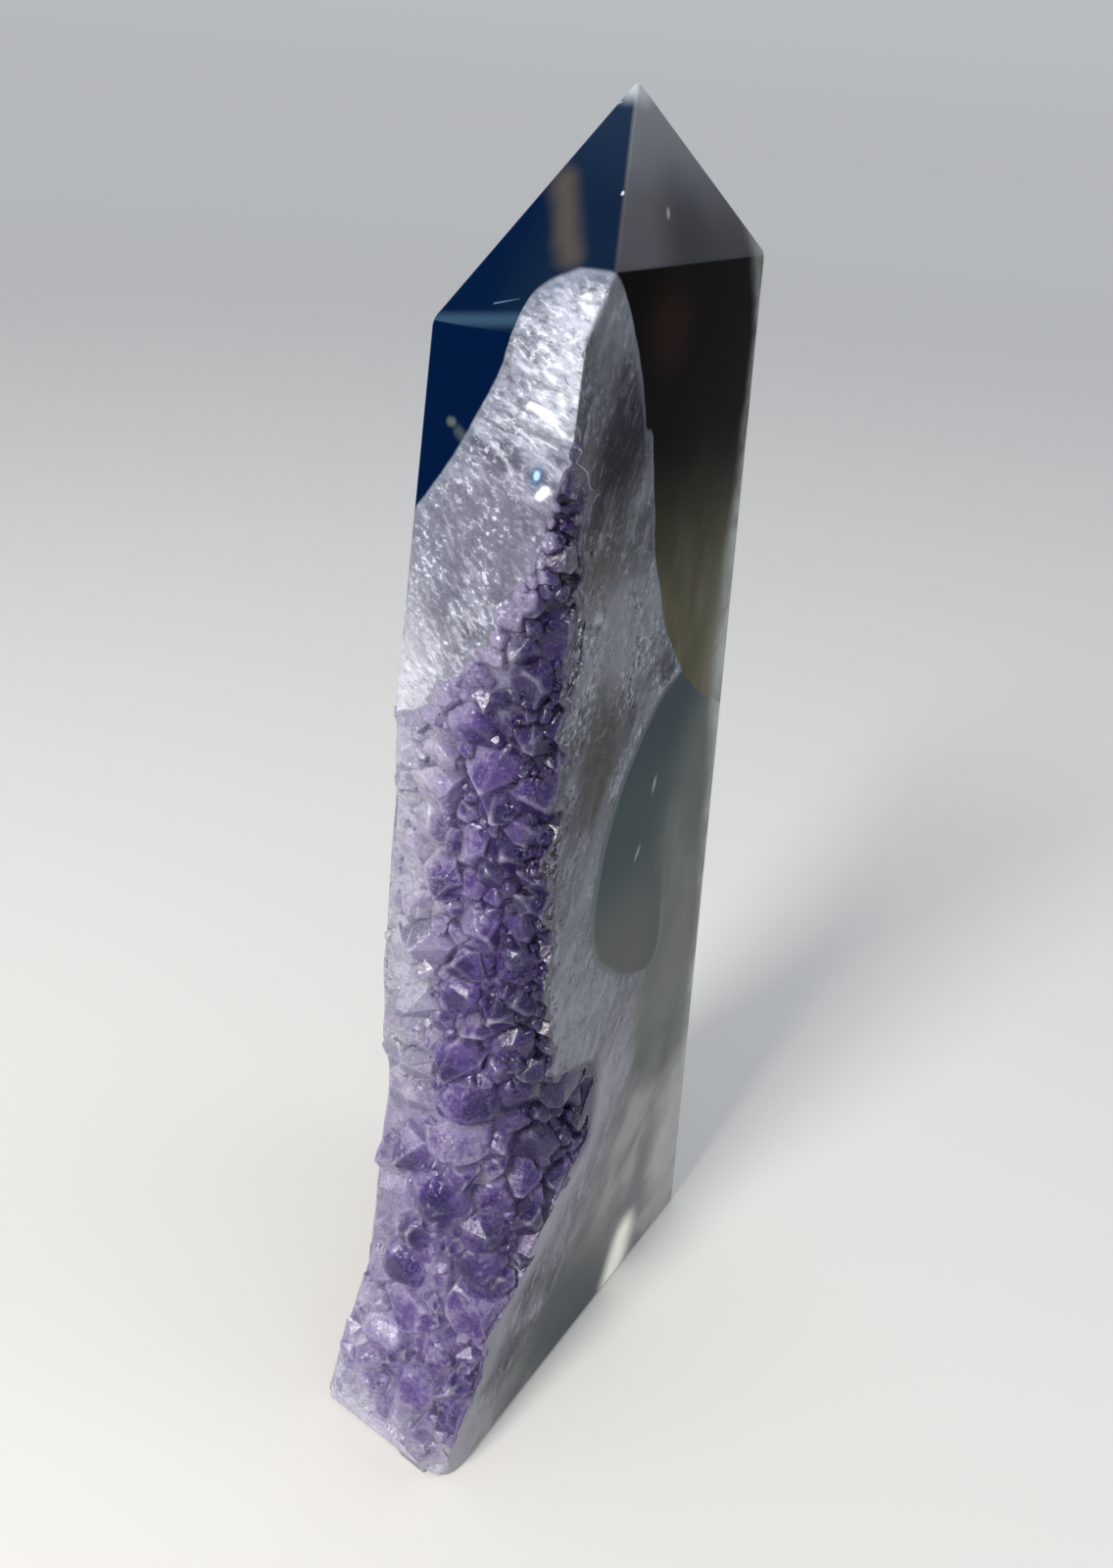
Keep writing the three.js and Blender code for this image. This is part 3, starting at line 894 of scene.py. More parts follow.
rough_quartz = quartz * ramp(above_dome, 0.0, -1.0)
gloss = rough_quartz * (grains * 0.35 + 0.08) + 0.055
tipped = glitter(place_warped / (0.6, 0.8, 0.45), 1.0, 0.7)
upright = add_node(tree, "ShaderNodeNewGeometry").outputs["Normal"]
tip_share = (on_left * 0.6 + 0.12).at_least(in_broken * 0.8)
tip_share = rough_quartz * tip_share
tip_share = tip_share * ramp(lumps_near, 0.35, 0.6)
normal = add_node(tree, "ShaderNodeMix", {0: tip_share, 4: upright, 5: tipped}, data_type="VECTOR")
relief = add_node(
    tree,
    "ShaderNodeBump",
    {"Height": rough_quartz * grains, "Strength": 0.3, "Distance": 0.0002, "Normal": normal.outputs[1]},
)
shader = add_node(
    tree,
    "ShaderNodeBsdfPrincipled",
    {
        "Base Color": body_colour,
        "Roughness": gloss,
        "Normal": relief.outputs[0],
        "IOR": 1.54,
        "Specular IOR Level": 0.02,
    },
)
add_node(tree, "ShaderNodeOutputMaterial", {"Surface": shader.outputs[0]})

# Raw quartz of the hollow's bed, milky and rough
bed_quartz, tree = new_material("raw_quartz")
place = millimetres(tree)
grains = clouds(place / (0.9, 0.9, 0.9), 4.0, 0.7)
bed_colour = blend(ramp(grains, 0.35, 0.65), "#56467a", "#b9b4c8")
bed_colour = blend(ramp(split(place)[1], 5, 14), bed_colour, "#d9d0f6")
relief = add_node(tree, "ShaderNodeBump", {"Height": grains, "Strength": 0.6, "Distance": 0.0004})
shader = add_node(
    tree,
    "ShaderNodeBsdfPrincipled",
    {"Base Color": bed_colour, "Roughness": 0.45, "Normal": relief.outputs[0], "IOR": 1.54},
)
add_node(tree, "ShaderNodeOutputMaterial", {"Surface": shader.outputs[0]})

body_mesh = stone_mesh(round_edges=1.1)
body_mesh.materials.clear()
body_mesh.materials.append(agate)
body_mesh.materials.append(bed_quartz)
body = link_object("agate_tower_stone", body_mesh)
hollow = hollow_side(0.0, 1.0, 0.7)
hollow.materials.append(agate)
hollow.materials.append(bed_quartz)
for polygon in hollow.polygons:
    polygon.material_index = 1
tool = add_boolean(body, "DIFFERENCE", hollow)
body_mesh = plain_mesh(body)
bpy.data.objects.remove(tool)


CHIP_SHAPES, CHIP_CORNERS = 6, 11
CHIPS_LOW, CHIPS_HIGH = 12.0, 140
ARRIS_CHIPS = 26


def chip_shape(seed):
    """A faceted splinter 1 in radius, the hollow left where a grain of quartz broke out."""
    rng = random.Random(seed)
    bm = bmesh.new()
    for _ in range(CHIP_CORNERS):
        bm.verts.new(
            Vector((rng.gauss(0, 1), rng.gauss(0, 1), rng.gauss(0, 1))).normalized() * rng.uniform(0.8, 1.1),
        )
    bmesh.ops.convex_hull(bm, input=bm.verts)
    mesh = bpy.data.meshes.new(f"chip_{seed}")
    bm.to_mesh(mesh)
    bm.free()
    mesh.materials.append(agate)
    return mesh


# Grains have broken out all along the front edge of the hollow and here and there on the left arris.
chip_kinds = bpy.data.collections.new("chip_kinds")
for k in range(CHIP_SHAPES):
    chip_kinds.objects.link(bpy.data.objects.new(f"chip_{k}", chip_shape(k)))
WIDE_PART = 62  # below this height the hollow is at its widest
FULL_TURN = 6.28
FRONT_RETREAT = 0.0141  # the front face leans back this much for each millimetre of height
rng = random.Random(8)
chips = []
height = CHIPS_LOW
while height < CHIPS_HIGH:
    at_front = bed_point(height, 0.0) + Vector((0, height * FRONT_RETREAT, 0))
    chips.append(
        (at_front + Vector((rng.uniform(-0.2, 0.7), rng.uniform(-0.2, 1.2), 0)), rng.uniform(0.4, 1.0)),
    )
    if height > WIDE_PART:
        chips.append(
            (
                at_front + Vector((rng.uniform(0.3, 2.6), rng.uniform(-0.35, 0.1), 0.4)),
                rng.uniform(0.25, 0.7),
            ),
        )
    height += rng.uniform(0.5, 1.5)
for _ in range(ARRIS_CHIPS):
    height = rng.uniform(143, 162)
    arris = Vector((left_edge_x(height), height * FRONT_RETREAT, height))
    if height > SHOULDER["front_left"]:
        arris = front_left.lerp(FRONT_RISE, (height - SHOULDER["front_left"]) / 6.2)
    chips.append(
        (arris + Vector((rng.uniform(-0.25, 0.1), rng.uniform(-0.4, 0.0), 0)), rng.uniform(0.25, 0.55)),
    )
chip_mesh = bpy.data.meshes.new("chips")
chip_mesh.from_pydata([place for place, size in chips], [], [])
for name in ("turn", "size"):
    chip_mesh.attributes.new(name, "FLOAT_VECTOR", "POINT")
for k, (place, size) in enumerate(chips):
    chip_mesh.attributes["turn"].data[k].vector = [rng.uniform(0, FULL_TURN) for _ in range(3)]
    chip_mesh.attributes["size"].data[k].vector = [size * rng.uniform(0.6, 1.3) for _ in range(3)]


def new_shape_tree(name, inputs):
    """A tree with a geometry and then named inputs. Returns it and its inputs' sockets."""
    made = bpy.data.node_groups.new(name, "GeometryNodeTree")
    for label, kind in [("Geometry", "Geometry")] + inputs:
        made.interface.new_socket(label, in_out="INPUT", socket_type="NodeSocket" + kind)
    made.interface.new_socket("Geometry", in_out="OUTPUT", socket_type="NodeSocketGeometry")
    return made, add_node(made, "NodeGroupInput").outputs


def shaped(piece, shape_tree, inputs):
    """The plain mesh that a tree makes of a piece. Each input is set by its socket's identifier."""
    modifier = piece.modifiers.new(shape_tree.name, "NODES")
    modifier.node_group = shape_tree
    for item in shape_tree.interface.items_tree:
        if item.name in inputs:
            modifier[item.identifier] = inputs[item.name]
    return plain_mesh(piece)


break_out, given = new_shape_tree(
    "break_out_chips", [("Stone", "Object"), ("Chips", "Collection"), ("Seed", "Int")]
)
stone = add_node(break_out, "GeometryNodeObjectInfo", {"Object": given["Stone"]})
kinds = add_node(
    break_out,
    "GeometryNodeCollectionInfo",
    {"Collection": given["Chips"], "Separate Children": True, "Reset Children": True},
)
chip_range = {"Seed": given["Seed"], 4: 0, 5: CHIP_SHAPES - 1}
pick = add_node(break_out, "FunctionNodeRandomValue", chip_range, data_type="INT")
turn, size = (
    add_node(break_out, "GeometryNodeInputNamedAttribute", {"Name": name}, data_type="FLOAT_VECTOR")
    for name in ("turn", "size")
)
placed = add_node(
    break_out,
    "GeometryNodeInstanceOnPoints",
    {
        "Points": given["Geometry"],
        "Instance": kinds.outputs[0],
        "Pick Instance": True,
        "Instance Index": pick.outputs[2],
        "Rotation": turn.outputs[0],
        "Scale": size.outputs[0],
    },
)
broken = add_node(
    break_out,
    "GeometryNodeMeshBoolean",
    {0: stone.outputs["Geometry"]},
    operation="DIFFERENCE",
    solver="MANIFOLD",
)
break_out.links.new(placed.outputs[0], broken.inputs["Mesh 2"])
plain = add_node(break_out, "GeometryNodeRealizeInstances", {"Geometry": broken.outputs[0]})
add_node(break_out, "NodeGroupOutput", {"Geometry": plain.outputs[0]})

SHARP_FROM = 32  # degrees between two faces
whole = link_object("whole_stone", body_mesh)
body = link_object("agate_tower_stone", chip_mesh)
body_mesh = shaped(body, break_out, {"Stone": whole, "Chips": chip_kinds, "Seed": 3})
bpy.data.objects.remove(whole)
one_solid(body_mesh)
body_mesh.transform(TO_FRAME)
body_mesh.polygons.foreach_set("use_smooth", [True] * len(body_mesh.polygons))
body_mesh.set_sharp_from_angle(angle=math.radians(SHARP_FROM))
body = finished("agate_tower_stone", body_mesh)
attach(body, "root")
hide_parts("agate_body")

# ---- Amethyst crust ----
# Blunt six-sided quartz crystals, violet in their cores and colourless at their rims, packed side by side on
# the hollow's bed. They have grown into one another and into the bed, so the crust is one solid.

CRYSTAL_SEED = 23
CRISP, ETCHED = 12, 8  # how many different crystals there are of each kind
CRISP_ROUNDING, ETCHED_ROUNDING = 0.055, 0.17
END_FACE_SLOPE = 51.8  # degrees between a quartz crystal's length and the normal of an end face
ETCHED_SHARE = 0.55  # of the crystals over the wide part; in it all are etched
SEAT_MARGIN = 0.3  # no crystal is rooted closer to a polished face
LARGE_TILT, TILT, RIM_LEAN = 0.12, 0.34, 1.2
# Largest radius, smallest radius, how many places are tried
CRYSTAL_SIZES = [(4.6, 3.6, 3000), (3.6, 2.6, 2500), (2.5, 1.5, 6000), (1.5, 0.7, 6000)]
RIM_PLACES, LARGE_RIM_PLACES = 700, 150
CRISP_SOFT, ETCHED_SOFT = 20, 42  # degrees up to which an edge is shaded soft
SHOULDER_TO_TIP = 0.95  # how far a crystal's tip stands over its shoulder, in radii


def crystal_variant(seed, rounding):
    """One crystal 1 in radius along +Z, its shoulder at 0. It ends in three broad and three narrow faces."""
    rng = random.Random(seed)
    bm = bmesh.new()
    bmesh.ops.create_cone(bm, cap_ends=True, segments=24, radius1=1.6, radius2=1.6, depth=5)
    planes = []
    for k in range(6):
        turn = math.radians(60 * k)
        planes.append((Vector((math.cos(turn), math.sin(turn), 0)), rng.uniform(0.74, 1.0)))
    slope = math.radians(END_FACE_SLOPE)
    tip = rng.uniform(0.68, 0.9)
    for k in range(6):
        turn = math.radians(60 * k)
        normal = Vector((math.cos(turn) * math.sin(slope), math.sin(turn) * math.sin(slope), math.cos(slope)))
        planes.append((normal, tip * (1 if k % 2 else rng.uniform(1.03, 1.25)) * rng.uniform(0.95, 1.05)))
    blunt = Vector((rng.gauss(0, 0.25), rng.gauss(0, 0.25), 1)).normalized()
    planes.append((blunt, rng.uniform(0.6, 0.75) if seed % 3 == 0 else rng.uniform(0.85, 1.3)))
    for normal, distance in planes:
        everything = bm.verts[:] + bm.edges[:] + bm.faces[:]
        cut = bmesh.ops.bisect_plane(
            bm, geom=everything, plane_co=normal * distance, plane_no=normal, clear_outer=True
        )
        rim = [e for e in cut["geom_cut"] if isinstance(e, bmesh.types.BMEdge)]
        if rim:
            bmesh.ops.contextual_create(bm, geom=rim)
    bmesh.ops.dissolve_limit(bm, angle_limit=0.01, verts=bm.verts, edges=bm.edges)
    upper = [e for e in bm.edges if max(v.co.z for v in e.verts) > -1]
    bmesh.ops.bevel(bm, geom=upper, offset=rounding, segments=1, affect="EDGES", clamp_overlap=True)
    if rounding == ETCHED_ROUNDING:
        # Wide bevels can cross; the hull of their corners is the rounded crystal.
        bmesh.ops.delete(bm, geom=bmesh.ops.convex_hull(bm, input=bm.verts)["geom_interior"], context="VERTS")
        corners = [v.co.copy() for v in bm.verts]
        bm.free()
        bm = bmesh.new()
        for corner in corners:
            bm.verts.new(corner)
        bmesh.ops.remove_doubles(bm, verts=bm.verts, dist=0.01)
        bmesh.ops.convex_hull(bm, input=bm.verts)
        bmesh.ops.dissolve_limit(bm, angle_limit=0.03, verts=bm.verts, edges=bm.edges)
    mesh = bpy.data.meshes.new(f"crystal_{seed}")
    bm.to_mesh(mesh)
    bm.free()
    return mesh


SLAB_AT_FRONT, SLAB_GAIN, SLAB_LEAST = 0.35, 2.3, 0.15


def slab_depth(height, y):
    """How thick the solid quartz under the crystals is. It thins out towards the rim of the hollow."""
    thick = SLAB_AT_FRONT + SLAB_GAIN * clamped(y / 7) + 0.5 * lumps((0, y, height), 7, 5)
    room = bed_point(height, y).x - left_edge_x(height)
    return max(min(thick, 0.45 * room), SLAB_LEAST)


def bed_normal(height, y):
    a = bed_point(height, y + 0.5, 0) - bed_point(height, y - 0.5, 0)
    b = bed_point(height + 0.5, y, 0) - bed_point(height - 0.5, y, 0)
    out = a.cross(b).normalized()
    return -out if out.x > 0 else out


# Crystals that stand out from the rest: height, depth from the front, radius
LARGE_CRYSTALS = [
    (115.0, 12.0, 4.4),
    (127.5, 8.6, 3.6),
    (136, 4.0, 2.6),
    (121.5, 6.2, 3.2),
    (98.7, 7.0, 3.6),
    (104.5, 9.5, 3.4),
    (60.5, 6.8, 4.4),
    (51, 12.0, 5.2),
    (40, 8.0, 4.6),
    (33, 15.0, 4.8),
]

# Where the hollow begins on the left face, from the front to the back
RIM_Y = [2.8, 4.5, 6.2, 7.8, 9.5, 11, 13.4, 15.8, 18.4, 20.5, 23]
RIM_HEIGHT = [146.3, 141.1, 135.7, 133.2, 131.2, 128.1, 125.2, 121.7, 119.2, 117.9, 116]

# The crystals stay behind these planes, by this much: the polished faces, and the plane of the foot's rim.
FOOT_RIM = 2.0
LIMITS = [(front, 0.15), (back, 0.1), ((Vector((0, 0, -1)), -FOOT_RIM), 0.0)]


def longest(base, direction, radius, proud):
    """How tall a crystal may grow before its tip or its shoulders pass a limit, or 0 where it is too wide."""
    tall = 20.0
    for (normal, distance), margin in LIMITS + [(left, -proud)]:
        gap = distance - normal.dot(base) - margin
        rise = normal.dot(direction)
        side = radius * math.sqrt(max(1 - rise * rise, 0)) * 0.9
        if rise > 0.12:
            tall = min(tall, gap / rise, (gap - side) / rise + radius * SHOULDER_TO_TIP)
        elif side > gap:
            return 0.0
    return tall


def crystal_seats():
    rng = random.Random(CRYSTAL_SEED)
    seats = []

    def try_seat(height, y, radius, kind=-1, at_rim=False):
        stands_out = kind >= 0
        in_wide_part = height < WIDE_PART
        if not stands_out and (in_wide_part or rng.random() < ETCHED_SHARE):
            kind = CRISP + rng.randrange(ETCHED)
        base = bed_point(height, y, 0)
        if any(n.dot(base) - d > -SEAT_MARGIN for n, d in (front, back, left)):
            return
        for other in seats:
            closest = (0.6 if radius > 1.5 else 0.5) * (other["radius"] + radius)
            if (other["base"] - base).length < closest:
                return
        out = bed_normal(height, y) + left[0] * (RIM_LEAN if at_rim else 0)
        spread = LARGE_TILT if stands_out else TILT
        tilt = Vector((rng.gauss(0, 1), rng.gauss(0, 1), rng.gauss(0, 1))) * spread
        direction = (out.normalized() + tilt).normalized()
        small = clamped((3.2 - radius) / 2)
        tall = slab_depth(height, y) + radius * rng.uniform(0.35 + 0.35 * small, 0.8 + 0.7 * small)
        bulging = 14 < height < 112 or (y > 5 and 14 < height < 134)
        tall = min(tall, longest(base, direction, radius, rng.uniform(-0.3, 0.7) if bulging else -0.1))
        if tall > radius * 0.3 + 0.3:
            seats.append(
                {
                    "base": base,
                    "direction": direction,
                    "radius": radius,
                    "tall": tall,
                    "spin": rng.uniform(0, FULL_TURN),
                    "etched": 1.0 if kind >= CRISP else 0.0,
                    "kind": kind,
                }
            )

    for k, (height, y, radius) in enumerate(LARGE_CRYSTALS):
        try_seat(height, y, radius, CRISP + k % ETCHED)
    for k in range(RIM_PLACES):
        # along the rim of the polished face
        y = rng.uniform(4, 22)
        height = float(np.interp(y, RIM_Y, RIM_HEIGHT)) - rng.uniform(0.5, 6.0)
        radius = rng.uniform(2.2, 3.2) if k < LARGE_RIM_PLACES else rng.uniform(1.0, 2.0)
        try_seat(height, y, radius, at_rim=True)
    for most, least, tries in CRYSTAL_SIZES:
        for _ in range(tries):
            height = rng.uniform(2, 151)
            y = rng.uniform(-1, 25) if most > 1.6 or rng.random() < 0.6 else rng.uniform(-1, 7)
            if height < WIDE_PART and most < 2 and rng.random() < 0.6:
                continue
            radius = rng.uniform(least, most) * (1.2 if height < WIDE_PART else 0.95)
            if y < 4 and height > 40:
                radius *= 0.7
            try_seat(height, y, radius)
    return seats


seats = crystal_seats()
variants = bpy.data.collections.new("crystal_variants")
for k in range(CRISP + ETCHED):
    shape = crystal_variant(k, CRISP_ROUNDING if k < CRISP else ETCHED_ROUNDING)
    variants.objects.link(bpy.data.objects.new(f"variant_{k:02d}", shape))

rng = random.Random(5)
seat_mesh = bpy.data.meshes.new("seats")
shoulder_heights = [s["tall"] - s["radius"] * SHOULDER_TO_TIP for s in seats]
centres = [s["base"] + s["direction"] * h for s, h in zip(seats, shoulder_heights)]
seat_mesh.from_pydata(centres, [], [])
for name, kind in (
    ("turn", "FLOAT_VECTOR"),
    ("axis", "FLOAT_VECTOR"),
    ("size", "FLOAT"),
    ("violet", "FLOAT"),
    ("etched", "FLOAT"),
    ("kind", "INT"),
):
    seat_mesh.attributes.new(name, kind, "POINT")
for k, seat in enumerate(seats):
    spin = Matrix.Rotation(seat["spin"], 3, "Z").to_quaternion()
    rotation = seat["direction"].to_track_quat("Z", "Y") @ spin
    seat_mesh.attributes["turn"].data[k].vector = rotation.to_euler()
    seat_mesh.attributes["axis"].data[k].vector = seat["direction"]
    seat_mesh.attributes["size"].data[k].value = seat["radius"]
    seat_mesh.attributes["violet"].data[k].value = rng.random()
    seat_mesh.attributes["etched"].data[k].value = seat["etched"]
    seat_mesh.attributes["kind"].data[k].value = seat["kind"]

grow, given = new_shape_tree(
    "grow_crust",
    [
        ("Crystals", "Collection"),
        ("Slab", "Object"),
        ("Polished Limit", "Object"),
        ("Bed Limit", "Object"),
        ("Bed", "Object"),
        ("Material", "Material"),
        ("Seed", "Int"),
    ],
)
pick = add_node(grow, "FunctionNodeRandomValue", {"Seed": given["Seed"], 4: 0, 5: CRISP - 1}, data_type="INT")
kinds = add_node(
    grow,
    "GeometryNodeCollectionInfo",
    {"Collection": given["Crystals"], "Separate Children": True, "Reset Children": True},
)


def named(name, kind):
    return add_node(grow, "GeometryNodeInputNamedAttribute", {"Name": name}, data_type=kind).outputs[0]


ordinary = add_node(
    grow, "FunctionNodeCompare", {2: named("kind", "INT"), 3: 0}, data_type="INT", operation="LESS_THAN"
)
which = add_node(
    grow,
    "GeometryNodeSwitch",
    {"Switch": ordinary.outputs[0], "False": named("kind", "INT"), "True": pick.outputs[2]},
    input_type="INT",
)
centred = add_node(
    grow,
    "GeometryNodeStoreNamedAttribute",
    {
        "Geometry": given["Geometry"],
        "Name": "centre",
        "Value": add_node(grow, "GeometryNodeInputPosition").outputs[0],
    },
    data_type="FLOAT_VECTOR",
    domain="POINT",
)
placed = add_node(
    grow,
    "GeometryNodeInstanceOnPoints",
    {
        "Points": centred.outputs[0],
        "Instance": kinds.outputs[0],
        "Pick Instance": True,
        "Instance Index": which.outputs[0],
        "Rotation": named("turn", "FLOAT_VECTOR"),
        "Scale": named("size", "FLOAT"),
    },
)
together = add_node(grow, "GeometryNodeMeshBoolean", operation="UNION", solver="MANIFOLD")
slab = add_node(grow, "GeometryNodeObjectInfo", {"Object": given["Slab"]})
grow.links.new(slab.outputs["Geometry"], together.inputs["Mesh 2"])
grow.links.new(placed.outputs[0], together.inputs["Mesh 2"])
grown = together.outputs[0]
for name in ("Polished Limit", "Bed Limit"):
    limit = add_node(grow, "GeometryNodeObjectInfo", {"Object": given[name]})
    trimmed = add_node(grow, "GeometryNodeMeshBoolean", operation="INTERSECT", solver="MANIFOLD")
    grow.links.new(grown, trimmed.inputs["Mesh 2"])
    grow.links.new(limit.outputs["Geometry"], trimmed.inputs["Mesh 2"])
    grown = trimmed.outputs[0]
# Each face of the crust keeps which crystal it belongs to, for the colour inside that crystal.
single = add_node(grow, "GeometryNodeRealizeInstances", {"Geometry": placed.outputs[0]})
for name, kind in (
    ("centre", "FLOAT_VECTOR"),
    ("axis", "FLOAT_VECTOR"),
    ("size", "FLOAT"),
    ("violet", "FLOAT"),
    ("etched", "FLOAT"),
):
    nearest = add_node(
        grow,
        "GeometryNodeSampleNearestSurface",
        {"Mesh": single.outputs[0], "Value": named(name, kind)},
        data_type=kind,
    )
    grown = add_node(
        grow,
        "GeometryNodeStoreNamedAttribute",
        {"Geometry": grown, "Name": "crystal_" + name, "Value": nearest.outputs[0]},
        data_type=kind,
        domain="FACE",
    ).outputs[0]
bed = add_node(grow, "GeometryNodeObjectInfo", {"Object": given["Bed"]})
from_bed = add_node(
    grow,
    "GeometryNodeProximity",
    {"Target": bed.outputs["Geometry"]},
    target_element="FACES",
)
grown = add_node(
    grow,
    "GeometryNodeStoreNamedAttribute",
    {"Geometry": grown, "Name": "crystal_from_bed", "Value": from_bed.outputs["Distance"]},
    data_type="FLOAT",
    domain="POINT",
).outputs[0]
dressed = add_node(grow, "GeometryNodeSetMaterial", {"Geometry": grown, "Material": given["Material"]})
plain = add_node(grow, "GeometryNodeRealizeInstances", {"Geometry": dressed.outputs[0]})
add_node(grow, "NodeGroupOutput", {"Geometry": plain.outputs[0]})

# Amethyst, natural crystal faces
amethyst, tree = new_material("amethyst_crystal")
place = millimetres(tree)
place_warped = warped(place, 3, 0.5)
_, y, z = split(place)


def crystal(name, output="Vector"):
    return read(add_node(tree, "ShaderNodeAttribute", attribute_name="crystal_" + name), output)


# Each crystal face lets through a little more or less light than its neighbours.
flat_normal = read(add_node(tree, "ShaderNodeNewGeometry"), "True Normal")
face_number = flat_normal.step("SNAP", (0.12, 0.12, 0.12))
face_tone = read(add_node(tree, "ShaderNodeTexWhiteNoise", {"Vector": face_number}), "Value")

# The colour sits in each crystal's core and thins out towards its sides and its root.
from_centre = place_warped - crystal("centre")
along = from_centre.dot(crystal("axis"))
sideways = (from_centre - crystal("axis") * along).length()
sideways = sideways / crystal("size", "Fac")
mottle = clouds(place / (3, 3, 3), 4.0, 0.6)
own = crystal("violet", "Fac")
creases = add_node(tree, "ShaderNodeAmbientOcclusion", {"Distance": 0.0022}, samples=6, only_local=True)
rims = add_node(
    tree,
    "ShaderNodeAmbientOcclusion",
    {"Distance": 0.0008},
    samples=6,
    inside=True,
    only_local=True,
)

into_left, _, into_front, _ = depths(place)
uneven = y - 5.0 + mottle * 10.0
colourless = ramp(uneven, 12.5, 17.5) * ramp(z, 50, 62)
colourless = colourless.at_least(ramp(uneven, 14, 22) * 0.6)
at_foot = ramp(z, 14, 6) * ramp(y, 10, 17)
at_foot = at_foot.at_least(ramp(z, 13, 4) * 0.5)
colourless = colourless.at_least(at_foot)
# Painted shade: along the front edge the crust lies in a recess, and it is painted darker there.
front_recess_shade = ramp(y + mottle * 4.0, 8.5, 3.5)
front_recess_shade = front_recess_shade * (ramp(z, 32, 48) * 0.6 + 0.4)
# Painted shade: three places in the recess along the front, painted a deeper violet
shaded_deep_places = [
    ((16.5, 5.5, 121), (6, 4, 7), 1.1),
    ((26, 4, 53), (9, 6, 8), 0.6),
    ((19, 3.5, 88), (6, 4.5, 22), 0.35),
]
veils = clouds(place / (0.9, 0.9, 0.9), 4.0, 0.7, 0.4)
shelter = 1.0 - read(creases, "AO")
core = ramp(sideways + (veils - 0.5) * 0.9, 0.8, 0.1)
amount = core * (ramp(own, 0.4, 0.9) * 0.95 + 0.2)
amount = amount + 0.37 + (own - 0.5) * 0.3
for centre, radii, strength in shaded_deep_places:
    amount = amount + blob(place_warped, centre, radii, 0, 0.8) * strength
amount = amount + (mottle - 0.5) * 1.1
amount = amount - (veils - 0.5) * 0.7
middle = ramp(z, 58, 70) * 0.17 + 0.07
middle = ramp(uneven, 14, 8) * middle
front_shade_strength = ramp(z, 56, 66) * 0.33 + 0.25
amount = amount + middle + front_recess_shade * front_shade_strength
amount = amount + (face_tone - 0.5) * 0.22
# Painted shade: creases along the front are painted deeper violet.
amount = amount + shelter * front_recess_shade * 0.7
amount = amount * (1.0 - colourless * 0.9)
colourless_quartz = blend(ramp(veils, 0.34, 0.6), "#bcbdcc", "#fafbff")
colourless_quartz = blend(ramp(face_tone, 0.45, 0.0), colourless_quartz, "#74768c")
violet_colour = blend(ramp(amount, -0.1, 0.35), colourless_quartz, "#a698c1")
violet_colour = blend(ramp(amount, 0.25, 0.65), violet_colour, "#5a3d8d")
violet_colour = blend(ramp(amount, 0.65, 1.15), violet_colour, "#270a5c")
# Painted shadow: where the crust is creased, the gaps between crystals are painted near black, more so higher
# up and along the front.
gap_shadow_depth = ramp(z, 60, 72) * 0.4 + 0.25
gap_shadow = ramp(shelter, 0.18, 0.5) * (gap_shadow_depth + front_recess_shade * 0.4)
gap_shadow = gap_shadow * (1.0 - colourless * 0.9)
violet_colour = blend(gap_shadow, violet_colour, "#150626")
flush_front = ramp(into_front, 0.35, 0.1)
open_air = 1.0 - front_recess_shade
soft_low = ramp(z, 66, 52) * 0.5 + 0.12
milky = shelter * open_air * soft_low
violet_colour = blend(milky, violet_colour, "#b9b0cc")
# Pale rims along convex edges: partly the paler thin edges of the crystals, partly a painted highlight where
# the edges catch the light.
rim_highlight = ramp(read(rims, "AO"), 0.93, 0.6) * 0.75
rim_highlight = rim_highlight * (1.0 - flush_front)
rim_highlight = rim_highlight * ramp(crystal("size", "Fac"), 0.8, 2.6)
rim_highlight = rim_highlight * (1.0 - front_recess_shade * 0.6)
violet_colour = blend(rim_highlight, violet_colour, "#dad8ea")
frost_colour = frosted_quartz(place, place_warped)
near_bed = ramp(crystal("from_bed", "Fac"), 3.4, 1.4)
cut_left = ramp(y, 10, 15) * 0.5 + 0.1
cut_left = cut_left.at_least(near_bed * ramp(y, 1.5, 4))
cut_left = cut_left * ramp(z, 106, 120)
bare_bed = ramp(crystal("from_bed", "Fac"), 3.0, 2.0) * ramp(y, 5, 8)
bare_bed = bare_bed * 0.7
cut_left = cut_left * ramp(into_left, 0.7, 0.2).at_least(bare_bed)
pale_left = colourless * 0.4
bright_frost = blend(0.25, frost_colour, "#f6f2ff")
violet_colour = blend(pale_left, violet_colour, bright_frost)
lavender_frost = blend(0.4, bright_frost, "#b7a8e6")
violet_colour = blend(cut_left, violet_colour, lavender_frost)
plain_quartz = blend(ramp(veils, 0.4, 0.62), "#414148", "#8d8e9b")
plain_share = (ramp(mottle, 0.6, 0.4) * 0.8).at_least(near_bed * 0.5)
plain_share = plain_share * (ramp(z, 64, 74) * 0.9 + 0.1)
violet_colour = blend(plain_share * flush_front, violet_colour, plain_quartz)
crack_cells = add_node(
    tree,
    "ShaderNodeTexVoronoi",
    {"Vector": warped(place, 1.5, 0.6), "Scale": 0.45},
    feature="DISTANCE_TO_EDGE",
)
cracks = ramp(read(crack_cells, "Distance"), 0.028, 0.0) * ramp(veils, 0.46, 0.6)
violet_colour = blend(cracks * 0.18, violet_colour, "#e6e4f0")
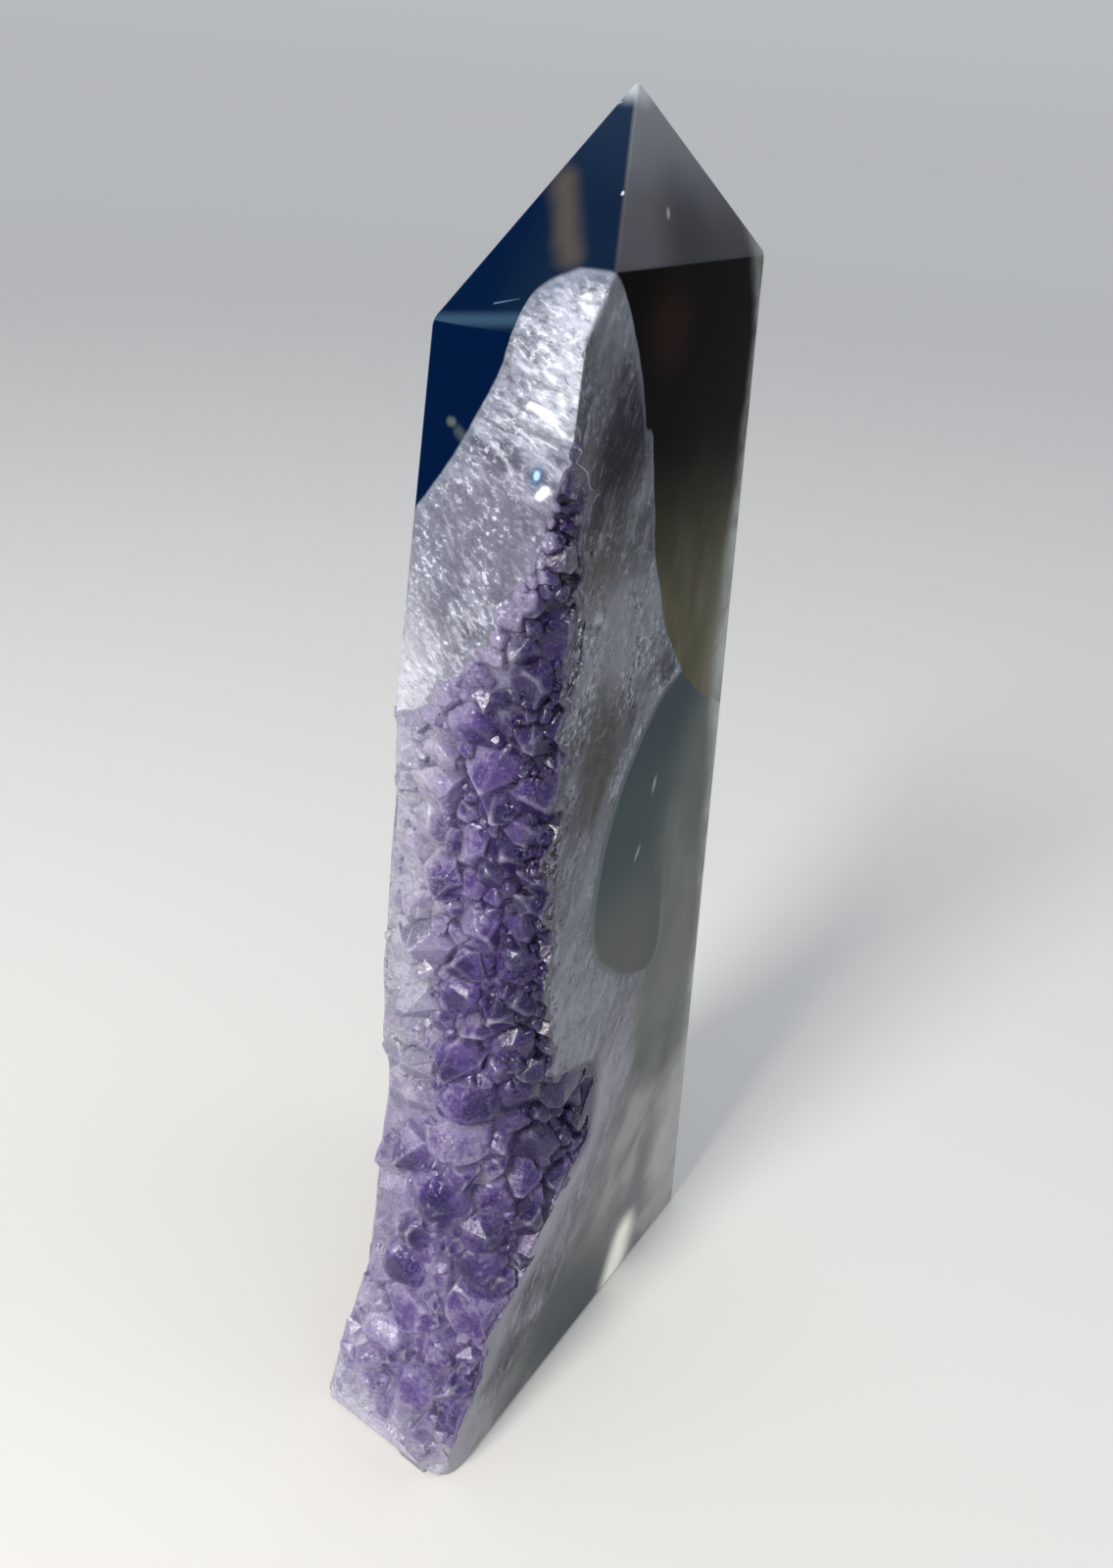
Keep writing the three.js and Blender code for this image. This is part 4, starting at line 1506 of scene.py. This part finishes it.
# Fine sugary grain. Its white flecks are partly frosted grain and partly painted glints.
sugar = clouds(place / (0.28, 0.28, 0.28), 3.0, 0.65)
sugar_glint_share = colourless * 0.4 + 0.16
violet_colour = blend(ramp(sugar, 0.56, 0.68) * sugar_glint_share, violet_colour, "#f4f4fa")
violet_colour = blend(ramp(sugar, 0.44, 0.32) * 0.25, violet_colour, "#2a2140")
speck_cells = add_node(tree, "ShaderNodeTexVoronoi", {"Vector": place, "Scale": 0.8})
speck_roll = read(add_node(tree, "ShaderNodeSeparateColor", {0: read(speck_cells, "Color")}), "Red")
specks = ramp(read(speck_cells, "Distance"), 0.14, 0.08) * ramp(speck_roll, 0.7, 0.72)
violet_colour = blend(specks * 0.85, violet_colour, "#0b0614")

steps = clouds(place / (0.8, 0.8, 0.8), 3.0, 0.6)
sparkle_zone = ramp(clouds(place / (3.5, 3.5, 3.5), 2.0), 0.56, 0.64)
sparkle_zone = sparkle_zone.at_least(cut_left * 0.7)
tipped = glitter(place, 0.35, 1.1)
upright = add_node(tree, "ShaderNodeNewGeometry").outputs["Normal"]
normal = add_node(tree, "ShaderNodeMix", {0: sparkle_zone, 4: upright, 5: tipped}, data_type="VECTOR")
relief = add_node(
    tree,
    "ShaderNodeBump",
    {"Height": steps + sugar * 0.3, "Strength": 0.45, "Distance": 0.00025, "Normal": normal.outputs[1]},
)
shader = add_node(
    tree,
    "ShaderNodeBsdfPrincipled",
    {
        "Base Color": violet_colour,
        "Roughness": steps * 0.2 + 0.08 + ramp(z, 62, 50) * 0.1,
        "Normal": relief.outputs[0],
        "IOR": 1.544,
        "Specular IOR Level": 0.28,
        "Transmission Weight": 0.55,
        "Subsurface Weight": 0.6,
        "Subsurface Radius": (1.0, 0.8, 1.1),
        "Subsurface Scale": 0.0022,
    },
)
absorb = add_node(tree, "ShaderNodeVolumeAbsorption", {"Color": linear("#b8a4d8"), "Density": 45.0})
add_node(tree, "ShaderNodeOutputMaterial", {"Surface": shader.outputs[0], "Volume": absorb.outputs[0]})

SEAM = 1.2  # how far the crust reaches into the stone, so that no gap shows


def slab_mesh():
    """The solid quartz under the crystals, from a little inside the stone to its own thickness outside it."""
    outer_side = link_object("crust_slab", hollow_side(-SEAM, 1.5))
    tools = [
        add_boolean(outer_side, "DIFFERENCE", hollow_side(slab_depth, 1.5)),
        add_boolean(outer_side, "INTERSECT", stone_mesh(grow=(-0.03, 0, -0.03, -0.03))),
    ]
    mesh = plain_mesh(outer_side)
    for tool in tools:
        bpy.data.objects.remove(tool)
    return mesh


helpers = {
    "Slab": link_object("slab", slab_mesh()),
    "Polished Limit": link_object("polished_limit", stone_mesh(grow=(-0.03, 0.0, -0.03, 0.8))),
    "Bed Limit": link_object("bed_limit", hollow_side(-SEAM, 1.5)),
    "Bed": link_object("bed", hollow_side(0.0, 1.5)),
}
crust = link_object("amethyst_crystal_crust", seat_mesh)
others = {"Crystals": variants, "Material": amethyst, "Seed": CRYSTAL_SEED}
crust_mesh = shaped(crust, grow, helpers | others)
for helper in helpers.values():
    bpy.data.objects.remove(helper)
one_solid(crust_mesh)
crust_mesh.transform(TO_FRAME)
bm = bmesh.new()
bm.from_mesh(crust_mesh)
for polygon in bm.faces:
    polygon.smooth = True
etched = bm.faces.layers.float["crystal_etched"]
for edge in bm.edges:
    limit = ETCHED_SOFT if edge.link_faces[0][etched] > 0.5 else CRISP_SOFT
    edge.smooth = edge.is_manifold and edge.calc_face_angle(0) < math.radians(limit)
bm.to_mesh(crust_mesh)
bm.free()
crust = finished("amethyst_crystal_crust", crust_mesh)
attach(crust, "root")
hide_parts("amethyst_crust")
